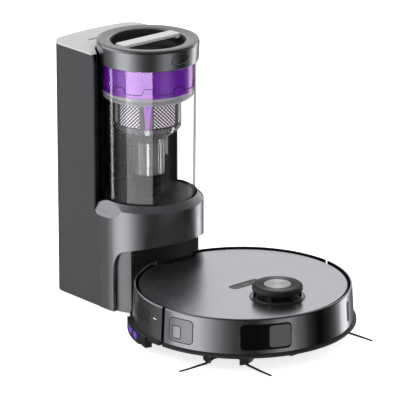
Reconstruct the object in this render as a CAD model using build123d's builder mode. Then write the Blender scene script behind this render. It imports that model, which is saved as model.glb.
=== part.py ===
from build123d import *
import os
from math import cos, radians, sin

# A bagless emptying station with its robot vacuum docked in front of it, in millimetres.
# +Z is up and the front faces -Y.  Z = 0 is the floor that wheels, pad and feet stand on.

# ---- driving dimensions -------------------------------------------------------------------

ROBOT_Y = -100.7  # the robot's centre
CUP_Y = ROBOT_Y + 229.4  # the dust cup's upright axis
RUNNING_FIT = 0.05  # radial play of a shaft in its bore
PLAY = 0.4  # gap between separate mouldings

# robot
LIP_R, LIP_LOW = 178.0, 28.0  # black lower lip
WALL_R = 171.0  # outer face of the wall, at the rim
WALL_FLARE = 3.0  # how much wider the wall stands at its foot
WALL_THICK = 3.0
WALL_LOW, RIM_Z = 34.0, 89.6
SHELL_INNER = WALL_R - WALL_THICK
DECK_R, DECK_Z, DECK_THICK = 164.0, 87.1, 3.0
PAN_LOW, PAN_THICK, PAN_R = 12.0, 3.0, 164.4
PAN_FLAT_R, PAN_EDGE_Z = 128.0, 24.2  # the underside rises from here to its edge
BUMPER_END = 86.0  # degrees each side of the front
SHELL_START = 88.2
LIDAR_Y = -80.0
CAP_R, CAP_LOW, CAP_TOP = 39.5, 99.0, 108.4
PILL_Y, PILL_LENGTH, PILL_WIDTH = -5.0, 60.0, 18.0
NOTCH_Y, NOTCH_HALF, NOTCH_FLARE = 144.0, 29.0, 38.0
WHEEL_X, WHEEL_Y, WHEEL_R, WHEEL_WIDE = 110.0, 26.0, 34.0, 20.0
ARM_Y, ARM_Z = 62.0, 30.0
AXLE_R = 5.0
CASTER_Y, CASTER_R, CASTER_TRAIL = -120.0, 12.0, 5.0
BRUSH_Y, BRUSH_Z, BRUSH_R, BRUSH_HALF = 14.0, 20.0, 20.0, 78.0
SIDE_X, SIDE_Y, SIDE_ARM, SIDE_RECESS = 103.0, -83.0, 38.0, 37.0
SIDE_REACH = {"left": 82.0, "right": 77.0}
SIDE_HUB_LOW, SIDE_CEILING = 14.4, 22.0
SIDE_TURN = {"left": 41.9, "right": 54.6}  # first arm's heading, degrees from +X

# station
TOWER_HALF, TOWER_BACK, TOWER_TOP = 87.5, 147.0, 420.0
TOWER_STRAIGHT = 113.0  # where the back corners start
PANEL_FRONT, LEG_FRONT, STEP_Z = 31.0, 17.0, 152.0
SKIN = 3.0
LEG_EDGE = -15.2  # front edge of the collar's legs, from the cup's axis
GROUND = 1.5  # shells stop this far above the floor
COLLAR_R, COLLAR_TOP, COLLAR_BORE = 88.5, 182.0, 78.2
BEVEL_Z, FLARE_Z = 172.0, 156.0
COLUMN_R, NICHE_HALF = 81.4, 70.5
LEG_THICK_TOP = 112.0
CUP_LOW, CUP_HIGH = 176.0, 402.0
CUP_R_LOW, CUP_R_HIGH, CUP_WALL = 74.8, 77.0, 2.2
RECESS_R = 84.0
LID_R, LID_LOW, LID_HIGH, LID_OPENING = 82.0, 402.6, 437.0, 60.5
BAR_WIDTH = 22.0
MAINS_X, MAINS_Z = -40.0, 18.0
KEY_WIDE, KEY_HIGH, KEY_Z = 34.0, 14.0, 419.0
INLET_Z, INLET_R, INLET_ANGLE = 199.0, 15.0, 180.0

os.makedirs("parts", exist_ok=True)


# ---- planes and small helpers -------------------------------------------------------------


def level(centre_y, z, x=0.0):
    """A horizontal plane whose origin is on the robot's or the cup's axis."""
    return Plane((x, centre_y, z))


def upright(centre_y, x=0.0, y=0.0):
    """A plane through an upright axis: its X is +X and its Y is +Z, for revolved profiles."""
    return Plane(origin=(x, centre_y + y, 0), x_dir=(1, 0, 0), z_dir=(0, -1, 0))


def sideways(centre_y, x=0.0):
    """A plane facing +X: its X is +Y and its Y is +Z."""
    return Plane(origin=(x, centre_y, 0), x_dir=(0, 1, 0), z_dir=(1, 0, 0))


def facing(angle, radius, z, centre_y=ROBOT_Y):
    """A plane on an upright wall, facing out; the angle is from the front, towards +X."""
    across = sin(radians(angle))
    ahead = -cos(radians(angle))
    return Plane(
        origin=(radius * across, centre_y + radius * ahead, z),
        x_dir=(-ahead, across, 0),
        z_dir=(across, ahead, 0),
    )


def upright_axis(centre_y, x=0.0, y=0.0):
    return Axis((x, centre_y + y, 0), (0, 0, 1))


def disc(plane, radius, height, mode=Mode.ADD):
    with BuildSketch(plane) as face:
        Circle(radius)
    extrude(face.sketch, amount=height, mode=mode)


def ring(plane, outer, inner, height, mode=Mode.ADD):
    with BuildSketch(plane) as face:
        Circle(outer)
        Circle(inner, mode=Mode.SUBTRACT)
    extrude(face.sketch, amount=height, mode=mode)


def block(plane, width, depth, height, at=(0, 0), corner=0.0, mode=Mode.ADD):
    with BuildSketch(plane) as face:
        with Locations(at):
            if corner:
                RectangleRounded(width, depth, corner)
            else:
                Rectangle(width, depth)
    extrude(face.sketch, amount=height, mode=mode)


def rod(start, radius, length, mode=Mode.ADD):
    """A cylinder along +X."""
    plane = Plane(origin=start, x_dir=(0, 1, 0), z_dir=(1, 0, 0))
    disc(plane, radius, length, mode)


def turned(points, plane, axis, mode=Mode.ADD):
    """A closed profile turned about an upright axis."""
    with BuildSketch(plane) as profile:
        with BuildLine():
            Polyline(*points, close=True)
        make_face()
    revolve(profile.sketch, axis=axis, mode=mode)


def keep_slice(centre_y, low, high, start, end, reach=400.0):
    """Keeps a pie slice between two angles from the front."""
    with BuildSketch(level(centre_y, low)) as wedge:
        with BuildLine():
            rim = CenterArc((0, 0), reach, start - 90, end - start)
            Line((0, 0), rim @ 0)
            Line((0, 0), rim @ 1)
        make_face()
    extrude(wedge.sketch, amount=high - low, mode=Mode.INTERSECT)


def flare(z):
    """How far the robot's wall stands outside its rim radius at a height."""
    return WALL_FLARE * (RIM_Z - z) / (RIM_Z - WALL_LOW)


def wall_patch(start, end, low, high, corner, inner, outer):
    """A round-cornered piece of the robot's wall, between two angles from the front."""
    middle = (start + end) / 2
    width = 2 * outer * sin(radians(end - start) / 2)
    floor, roof = low - 5, high + 5
    with BuildPart() as patch:
        with BuildSketch(facing(middle, inner - 4, (low + high) / 2)):
            RectangleRounded(width, high - low, corner)
        extrude(amount=outer - inner + 24)
        turned(
            [
                (inner + flare(floor), floor),
                (outer + flare(floor), floor),
                (outer + flare(roof), roof),
                (inner + flare(roof), roof),
            ],
            upright(ROBOT_Y),
            upright_axis(ROBOT_Y),
            mode=Mode.INTERSECT,
        )
    return patch.part


def wall_profile():
    """The section of the robot's wall: a flared foot and a bevelled, rounded rim."""
    return [
        (SHELL_INNER + WALL_FLARE, WALL_LOW),
        (WALL_R + WALL_FLARE, WALL_LOW),
        (WALL_R, RIM_Z - 2.2),
        (WALL_R - 0.6, RIM_Z - 0.7),
        (WALL_R - 1.8, RIM_Z),
        (SHELL_INNER + 0.6, RIM_Z),
        (SHELL_INNER, RIM_Z - 0.6),
    ]


def lip_face(start, end):
    """The lower lip's plan between two angles from the front."""
    with BuildLine() as outline:
        outer = CenterArc((0, 0), LIP_R, start - 90, end - start)
        inner = CenterArc((0, 0), PAN_R - 1, start - 90, end - start)
        Line(outer @ 0, inner @ 0)
        Line(outer @ 1, inner @ 1)
    make_face(outline.edges())


def tower_face(inset=0.0, front=None):
    """The tower's plan: straight sides, round back corners and a slightly bowed back."""
    half = TOWER_HALF - inset
    back = TOWER_BACK - inset
    start = PANEL_FRONT if front is None else front
    with BuildLine() as outline:
        Line((-half, start), (-half, TOWER_STRAIGHT))
        left = TangentArc((-half, TOWER_STRAIGHT), (-58, back - 4.5), tangent=(0, 1))
        ThreePointArc(left @ 1, (0, back), (58, back - 4.5))
        TangentArc((half, TOWER_STRAIGHT), (58, back - 4.5), tangent=(0, 1))
        Line((half, TOWER_STRAIGHT), (half, start))
        Line((half, start), (-half, start))
    make_face(outline.edges())


def tower_silhouette():
    """Keeps what lies behind the tower's side outline: low leg, step and round top corner."""
    with BuildSketch(sideways(CUP_Y, -120)) as side:
        with BuildLine():
            Polyline(
                (LEG_FRONT, 0),
                (LEG_FRONT, STEP_Z),
                (PANEL_FRONT, STEP_Z + 10),
                (PANEL_FRONT, TOWER_TOP - 12),
            )
            RadiusArc((PANEL_FRONT, TOWER_TOP - 12), (PANEL_FRONT + 12, TOWER_TOP), 12)
            Polyline((PANEL_FRONT + 12, TOWER_TOP), (160, TOWER_TOP), (160, 0), (LEG_FRONT, 0))
        make_face()
    extrude(side.sketch, amount=240, mode=Mode.INTERSECT)


def u_face(radius, back):
    """A half disc to the front, with straight sides that run back."""
    with BuildLine() as outline:
        bow = CenterArc((0, 0), radius, 180, 180)
        Polyline(bow @ 1, (radius, back), (-radius, back), bow @ 0)
    make_face(outline.edges())


def finish(piece, name):
    piece.label = name
    export_step(piece, f"parts/{name}.step")


# ---- station: shells ----------------------------------------------------------------------

with BuildPart() as station_base:
    with BuildSketch(level(CUP_Y, 3)):
        tower_face(SKIN + 0.3, front=LEG_FRONT + PLAY)
        Circle(COLUMN_R - 4.4)
        with Locations((0, -136)):
            Rectangle(200, 200, mode=Mode.SUBTRACT)
    extrude(amount=5)
    with Locations(*[(x, CUP_Y + y, 3) for x in (-70, 70) for y in (-20, 118)]):
        Hole(3, 20)
finish(station_base.part, "station_base")

FOOT_SPOTS = [(-62, -22), (62, -22), (-62, 112), (62, 112)]
with BuildPart() as station_feet:
    with BuildSketch(level(CUP_Y, 0)):
        with Locations(*FOOT_SPOTS):
            Circle(9)
    extrude(amount=3)
finish(station_feet.part, "station_feet")

with BuildPart() as station_screws:
    with BuildSketch(level(CUP_Y, 3.4)):
        with Locations(*[(x, y) for x in (-70, 70) for y in (-20, 118)]):
            Circle(2.9)
    extrude(amount=9)
finish(station_screws.part, "station_screws")

with BuildPart() as tower_shell:
    with BuildSketch(level(CUP_Y, GROUND)):
        tower_face(front=LEG_FRONT)
    extrude(amount=TOWER_TOP - 3 - GROUND)
    with BuildSketch(level(CUP_Y, GROUND)):
        tower_face(SKIN, front=-40)
    extrude(amount=TOWER_TOP, mode=Mode.SUBTRACT)
    tower_silhouette()
    # openings at the back for the exhaust grille and the mains inlet
    with BuildSketch(upright(CUP_Y + 160)):
        with Locations((0, 62)):
            RectangleRounded(96, 64, 6)
        with Locations((MAINS_X, MAINS_Z)):
            RectangleRounded(24, 16, 3)
    extrude(amount=40, mode=Mode.SUBTRACT)
finish(tower_shell.part, "tower_shell")

with BuildPart() as tower_top:
    with BuildSketch(level(CUP_Y, TOWER_TOP - 3)):
        tower_face()
    extrude(amount=3)
    tower_silhouette()
    disc(level(CUP_Y, TOWER_TOP - 10), RECESS_R, 20, Mode.SUBTRACT)
    block(level(CUP_Y, TOWER_TOP - 1.6), 84, 5, 5, at=(0, 98), corner=2.4, mode=Mode.SUBTRACT)
finish(tower_top.part, "tower_top")

with BuildPart() as light_bar:
    block(level(CUP_Y, TOWER_TOP - 1.6), 83.6, 4.6, 1.2, at=(0, 98), corner=2.2)
finish(light_bar.part, "light_bar")

# The black liner behind the cup: a round wall, two front strips and the shelf under the cup.
with BuildPart() as cup_recess:
    ring(level(CUP_Y, 166), RECESS_R + 2.4, RECESS_R, TOWER_TOP - 3 - 166)
    block(level(CUP_Y, 160), 300, 200, 300, at=(0, PANEL_FRONT - 99.6), mode=Mode.SUBTRACT)
    strip = TOWER_HALF - SKIN - 0.3 - 77.5
    for side in (-1, 1):
        middle = side * (77.5 + strip / 2)
        block(level(CUP_Y, 166), strip, 3, TOWER_TOP - 15 - 166, at=(middle, PANEL_FRONT + 2.1))
    ring(level(CUP_Y, CUP_LOW - 4), RECESS_R + 1, 40, 4)
    block(level(CUP_Y, CUP_LOW - 5), 300, 200, 6, at=(0, PANEL_FRONT - 100), mode=Mode.SUBTRACT)
    disc(level(CUP_Y, CUP_LOW - 4), COLLAR_BORE - 0.5, 4)
    with BuildSketch(facing(INLET_ANGLE, 70, INLET_Z, CUP_Y)):
        Circle(INLET_R + 2)
    extrude(amount=40, mode=Mode.SUBTRACT)
    disc(level(CUP_Y, 160), 30, 30, Mode.SUBTRACT)
finish(cup_recess.part, "cup_recess")

# The front collar under the cup, bevelled at the top and cut to an arch for the robot.
with BuildPart() as front_collar:
    with BuildSketch(level(CUP_Y, GROUND)):
        u_face(COLLAR_R, PANEL_FRONT - 0.3)
    extrude(amount=COLLAR_TOP - GROUND)
    # thick legs close the gap to the column; the band above them is a thinner skin
    with BuildSketch(level(CUP_Y, GROUND)):
        u_face(COLUMN_R + 1.2, PANEL_FRONT + 5)
    extrude(amount=LEG_THICK_TOP - GROUND, mode=Mode.SUBTRACT)
    with BuildSketch(level(CUP_Y, LEG_THICK_TOP)):
        u_face(COLLAR_R - SKIN, PANEL_FRONT + 5)
    extrude(amount=BEVEL_Z - 8 - LEG_THICK_TOP, mode=Mode.SUBTRACT)
    disc(level(CUP_Y, 100), COLLAR_BORE, 100, Mode.SUBTRACT)
    block(level(CUP_Y, 100), 2 * COLLAR_BORE, 40, 100, at=(0, 20), mode=Mode.SUBTRACT)
    # bevel all round, and the steeper flare along each side
    turned(
        [(COLLAR_BORE + 0.6, COLLAR_TOP), (COLLAR_R + 4, BEVEL_Z - 4), (COLLAR_R + 40, 200), (60, 200)],
        upright(CUP_Y),
        upright_axis(CUP_Y),
        Mode.SUBTRACT,
    )
    for side in (-1, 1):
        with BuildSketch(upright(CUP_Y, y=40)):
            with BuildLine():
                Polyline(
                    (side * (COLLAR_BORE + 0.6), COLLAR_TOP),
                    (side * (COLLAR_R + 2), FLARE_Z - 5),
                    (side * (COLLAR_R + 30), FLARE_Z),
                    (side * (COLLAR_R + 30), 200),
                    (side * (COLLAR_BORE + 0.6), 200),
                    close=True,
                )
            make_face()
        extrude(amount=130, mode=Mode.SUBTRACT)
    with BuildSketch(sideways(CUP_Y, -120)):
        with BuildLine():
            Line((LEG_EDGE, 0), (LEG_EDGE, 60))
            arch = Spline(
                (LEG_EDGE, 60), (LEG_EDGE - 1.6, 82), (LEG_EDGE - 7, 96), (LEG_EDGE - 21, 106.5),
                tangents=[(0, 1), (-1, 0.3)],
            )
            Polyline(arch @ 1, (-COLLAR_R - 2, 120), (-140, 120), (-140, 0), (LEG_EDGE, 0))
        make_face()
    extrude(amount=240, mode=Mode.SUBTRACT)
    # the legs stop short of the tower's panels, which carry on above the step
    with BuildSketch(sideways(CUP_Y, -120)):
        with BuildLine():
            Polyline(
                (LEG_FRONT - PLAY, 0),
                (LEG_FRONT - PLAY, STEP_Z),
                (PANEL_FRONT - PLAY, STEP_Z + 10),
                (PANEL_FRONT + 20, STEP_Z + 10),
                (PANEL_FRONT + 20, 0),
                close=True,
            )
        make_face()
    extrude(amount=240, mode=Mode.SUBTRACT)
finish(front_collar.part, "front_collar")

# The round column behind the arch, open at the front where the robot backs in.
with BuildPart() as inner_column:
    with BuildSketch(level(CUP_Y, GROUND)):
        u_face(COLUMN_R, 12.6)
    extrude(amount=126 - GROUND)
    with BuildSketch(level(CUP_Y, 0)):
        u_face(COLUMN_R - 4, 30)
    extrude(amount=122, mode=Mode.SUBTRACT)
    block(level(CUP_Y, 0), 2 * NICHE_HALF, 80, 118, at=(0, -80), mode=Mode.SUBTRACT)
    disc(level(CUP_Y, 100), 32, 60, Mode.SUBTRACT)
finish(inner_column.part, "inner_column")


# ---- station: what is inside --------------------------------------------------------------

NICHE_Y = -40.0
with BuildPart() as niche_panel:
    block(level(CUP_Y, 8.4), 2 * NICHE_HALF - 9, 3, 110, at=(0, NICHE_Y + 1.5))
    with BuildSketch(upright(CUP_Y, y=-60)):
        with Locations((0, 52)):
            RectangleRounded(40, 20, 6)
        with Locations((-40, 30), (40, 30)):
            RectangleRounded(22.4, 10.4, 2)
    extrude(amount=-60, mode=Mode.SUBTRACT)
finish(niche_panel.part, "niche_panel")

with BuildPart() as intake_seal:
    with BuildSketch(upright(CUP_Y, y=NICHE_Y + 3)):
        with Locations((0, 52)):
            RectangleRounded(39.6, 19.6, 5.8)
            RectangleRounded(32, 12, 4, mode=Mode.SUBTRACT)
    extrude(amount=18.6)
finish(intake_seal.part, "intake_seal")

with BuildPart() as charging_contacts:
    with BuildSketch(upright(CUP_Y, y=NICHE_Y + 4)):
        with Locations((-40, 30), (40, 30)):
            RectangleRounded(22, 10, 1.8)
    extrude(amount=17.4)
finish(charging_contacts.part, "charging_contacts")

DUCT_FRONT, DUCT_BACK, DUCT_WIDE, DUCT_WALL = NICHE_Y + 3.2, 114.0, 36.0, 2.0
with BuildPart() as dust_duct:
    # flat run from the intake, then a riser behind the liner to the cup's inlet
    run = DUCT_BACK - DUCT_FRONT
    inside = DUCT_WIDE - 2 * DUCT_WALL
    block(level(CUP_Y, 42), DUCT_WIDE, run, 20, at=(0, DUCT_FRONT + run / 2))
    block(level(CUP_Y, 42), DUCT_WIDE, 26, 218, at=(0, DUCT_BACK - 13))
    disc(facing(INLET_ANGLE, CUP_R_LOW + 3, INLET_Z, CUP_Y), INLET_R + 1.6, 20)
    block(level(CUP_Y, 44), inside, run, 16, at=(0, DUCT_FRONT + run / 2 - DUCT_WALL), mode=Mode.SUBTRACT)
    block(level(CUP_Y, 44), inside, 22, 214, at=(0, DUCT_BACK - 13), mode=Mode.SUBTRACT)
    disc(facing(INLET_ANGLE, CUP_R_LOW, INLET_Z, CUP_Y), INLET_R - 1, 25, Mode.SUBTRACT)
finish(dust_duct.part, "dust_duct")

MOTOR_X, MOTOR_Y = 51.0, 98.0
with BuildPart() as suction_motor:
    disc(level(CUP_Y + MOTOR_Y, 66, MOTOR_X), 31, 60)
    disc(level(CUP_Y + MOTOR_Y, 126, MOTOR_X), 14, 5)
    disc(level(CUP_Y + MOTOR_Y, 131, MOTOR_X), 4, 26)
    for turn in range(3):
        heading = radians(120 * turn + 90)
        at = (24 * cos(heading), 24 * sin(heading))
        block(level(CUP_Y + MOTOR_Y, 8.2, MOTOR_X), 10, 10, 59, at=at, corner=2)
finish(suction_motor.part, "suction_motor")

with BuildPart() as fan_impeller:
    disc(level(CUP_Y + MOTOR_Y, 132, MOTOR_X), 30, 2.4)
    disc(level(CUP_Y + MOTOR_Y, 132, MOTOR_X), 9, 18)
    for turn in range(9):
        with BuildSketch(level(CUP_Y + MOTOR_Y, 134, MOTOR_X)):
            with Locations(Location((0, 0, 0), (0, 0, 40 * turn))):
                with Locations((18, 0)):
                    Rectangle(22, 2, rotation=18)
        extrude(amount=13)
    disc(level(CUP_Y + MOTOR_Y, 120, MOTOR_X), 4 + RUNNING_FIT, 40, Mode.SUBTRACT)
finish(fan_impeller.part, "fan_impeller")

with BuildPart() as exhaust_grille:
    with BuildSketch(upright(CUP_Y, y=TOWER_BACK - 3)):
        with Locations((0, 62)):
            RectangleRounded(95.4, 63.4, 5.7)
    extrude(amount=-2.2)
    with BuildSketch(upright(CUP_Y, y=TOWER_BACK - 10)):
        with Locations((0, 62)):
            with GridLocations(0, 6, 1, 9):
                SlotOverall(84, 2.6)
    extrude(amount=-20, mode=Mode.SUBTRACT)
finish(exhaust_grille.part, "exhaust_grille")

with BuildPart() as power_board:
    block(level(CUP_Y, 8.4), 1.6, 80, 100, at=(-76, 70))
    for y, high, deep in ((45, 30, 14), (62, 22, 10), (84, 36, 12), (100, 26, 9)):
        block(level(CUP_Y, 24), deep, 14, high, at=(deep / 2 - 75.2, y))
finish(power_board.part, "power_board")

with BuildPart() as power_inlet:
    with BuildSketch(upright(CUP_Y, y=TOWER_BACK - 2.6)):
        with Locations((MAINS_X, MAINS_Z)):
            RectangleRounded(23.4, 15.4, 2.7)
    extrude(amount=18)
    with BuildSketch(upright(CUP_Y, y=TOWER_BACK - 1)):
        with Locations((MAINS_X, MAINS_Z)):
            SlotOverall(16, 8.5)
    extrude(amount=14, mode=Mode.SUBTRACT)
    for x in (MAINS_X - 3.5, MAINS_X + 3.5):
        rod_plane = upright(CUP_Y, y=TOWER_BACK - 18)
        with BuildSketch(rod_plane):
            with Locations((x, MAINS_Z)):
                Circle(1.2)
        extrude(amount=-12)
finish(power_inlet.part, "power_inlet")

# ---- dust cup: everything that lifts out --------------------------------------------------


def cup_radius(z):
    """The canister tapers slightly towards its foot."""
    return CUP_R_LOW + (CUP_R_HIGH - CUP_R_LOW) * (z - CUP_LOW) / (CUP_HIGH - CUP_LOW)


with BuildPart() as canister:
    turned(
        [
            (CUP_R_LOW - CUP_WALL, CUP_LOW),
            (CUP_R_LOW, CUP_LOW),
            (CUP_R_HIGH, CUP_HIGH),
            (CUP_R_HIGH - CUP_WALL, CUP_HIGH),
        ],
        upright(CUP_Y),
        upright_axis(CUP_Y),
    )
    disc(facing(INLET_ANGLE, 60, INLET_Z, CUP_Y), INLET_R, 40, Mode.SUBTRACT)
finish(canister.part, "canister")

with BuildPart() as bottom_flap:
    disc(level(CUP_Y, CUP_LOW), CUP_R_LOW - CUP_WALL - 0.4, 4)
    ring(level(CUP_Y, CUP_LOW + 4), 24, 21.5, 14)
    fillet(bottom_flap.faces().sort_by(Axis.Z)[-1].edges(), 0.8)
finish(bottom_flap.part, "bottom_flap")

RING_LOW, RIDGE_LOW, SCREEN_LOW = 357.0, 343.0, 300.0
with BuildPart() as cyclone_ring:
    ring(level(CUP_Y, RING_LOW + 0.2), 73.6, 70.6, CUP_HIGH - RING_LOW - 0.6)
finish(cyclone_ring.part, "cyclone_ring")

with BuildPart() as ridge_ring:
    turned(
        [
            (52, RIDGE_LOW),
            (68, RIDGE_LOW),
            (72.5, RIDGE_LOW + 3),
            (72.5, RIDGE_LOW + 5),
            (70.5, RIDGE_LOW + 6.5),
            (73.4, RIDGE_LOW + 8.5),
            (73.4, RING_LOW),
            (69, RING_LOW),
            (66, RIDGE_LOW + 4),
            (52, RIDGE_LOW + 4),
        ],
        upright(CUP_Y),
        upright_axis(CUP_Y),
    )
finish(ridge_ring.part, "ridge_ring")

with BuildPart() as mesh_screen:
    ring(level(CUP_Y, SCREEN_LOW), 53, 51.6, RIDGE_LOW - SCREEN_LOW - 0.2)
finish(mesh_screen.part, "mesh_screen")

with BuildPart() as cyclone_cones:
    disc(level(CUP_Y, RIDGE_LOW - 4), 50.5, 3.6)
    for turn in range(8):
        heading = radians(45 * turn + 22.5)
        spot_x = 36 * cos(heading)
        spot_y = 36 * sin(heading)
        with BuildSketch(level(CUP_Y + spot_y, SCREEN_LOW + 3, spot_x)):
            Circle(4)
        with BuildSketch(level(CUP_Y + spot_y, RIDGE_LOW - 3.5, spot_x)):
            Circle(11)
        loft()
finish(cyclone_cones.part, "cyclone_cones")

COLLAR_STEPS = [
    (24, 216),
    (26, 216),
    (26.6, 268),
    (30, 274),
    (44, 285),
    (50, 290),
    (50, 294),
    (52.6, 294),
    (52.6, 299.6),
    (48, 299.6),
    (48, 292),
    (42.6, 287),
    (28, 275.4),
    (24.6, 269),
]
with BuildPart() as dust_tube:
    turned(COLLAR_STEPS, upright(CUP_Y), upright_axis(CUP_Y))
finish(dust_tube.part, "dust_tube")

# ---- cup lid ------------------------------------------------------------------------------

with BuildPart() as lid_ring:
    turned(
        [
            (LID_OPENING, LID_HIGH - 4),
            (LID_OPENING + 1, LID_HIGH - 2.2),
            (LID_OPENING + 4, LID_HIGH - 1.2),
            (LID_R - 5, LID_HIGH),
            (LID_R - 1.2, LID_HIGH - 1.2),
            (LID_R, LID_HIGH - 5),
            (LID_R - 1.6, LID_LOW + 1),
            (LID_R - 2.6, LID_LOW),
            (LID_R - 6, LID_LOW),
            (LID_R - 4, LID_HIGH - 5),
        ],
        upright(CUP_Y),
        upright_axis(CUP_Y),
    )
    with BuildSketch(upright(CUP_Y, y=-60)):
        with Locations((0, KEY_Z)):
            SlotOverall(KEY_WIDE + 1.6, KEY_HIGH + 1.6)
    extrude(amount=60, mode=Mode.SUBTRACT)
finish(lid_ring.part, "lid_ring")

with BuildPart() as release_button:
    with BuildSketch(upright(CUP_Y, y=-74)):
        with Locations((0, KEY_Z)):
            SlotOverall(KEY_WIDE, KEY_HIGH)
    extrude(amount=20)
    disc(level(CUP_Y, 380), LID_R - 0.4, 80, Mode.INTERSECT)
finish(release_button.part, "release_button")

BOWL_FLOOR = 410.0
with BuildPart() as lid_bowl:
    turned(
        [
            (0, BOWL_FLOOR),
            (50, BOWL_FLOOR),
            (LID_OPENING - 2, BOWL_FLOOR + 8),
            (LID_OPENING - 0.2, LID_HIGH - 7.4),
            (LID_R - 4.8, LID_HIGH - 7.8),
            (LID_R - 4.6, LID_HIGH - 5.6),
            (LID_OPENING - 2, LID_HIGH - 4.4),
            (LID_OPENING - 4, BOWL_FLOOR + 9.4),
            (49, BOWL_FLOOR + 2),
            (0, BOWL_FLOOR + 2),
        ],
        upright(CUP_Y),
        upright_axis(CUP_Y),
    )
finish(lid_bowl.part, "lid_bowl")

with BuildPart() as lid_handle:
    block(level(CUP_Y, LID_HIGH - 5), 2 * LID_OPENING, BAR_WIDTH, 5)
    for side in (-1, 1):
        block(level(CUP_Y, LID_HIGH - 8), 12, BAR_WIDTH, 4, at=(side * (LID_OPENING - 6), 0))
    disc(level(CUP_Y, LID_HIGH - 10), LID_OPENING - 2.6, 20, Mode.INTERSECT)
    fillet(lid_handle.faces().sort_by(Axis.Z)[-1].edges(), 1.2)
finish(lid_handle.part, "lid_handle")

with BuildPart() as cup_filter:
    disc(level(CUP_Y, 403), 66, 6.6)
    for count in range(11):
        block(level(CUP_Y, 402.8), 140, 2, 3, at=(0, -60 + 12 * count), mode=Mode.SUBTRACT)
finish(cup_filter.part, "cup_filter")

# ---- robot: shells ------------------------------------------------------------------------

WELL_FRONT, WELL_BACK, WELL_INNER, WELL_OUTER = -17.0, 74.0, 84.0, 124.0
WELL_TOP, PAN_TOP = 74.0, 78.8
SIDE_HUBS = [(-SIDE_X, SIDE_Y), (SIDE_X, SIDE_Y)]
CLIP_START, CLIP_END, CLIP_OUT, CLIP_TOP = 98.0, 130.0, 182.0, 33.4
BRUSH_TUNNEL = (2 * BRUSH_HALF + 6, 2 * BRUSH_R + 7)

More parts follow.
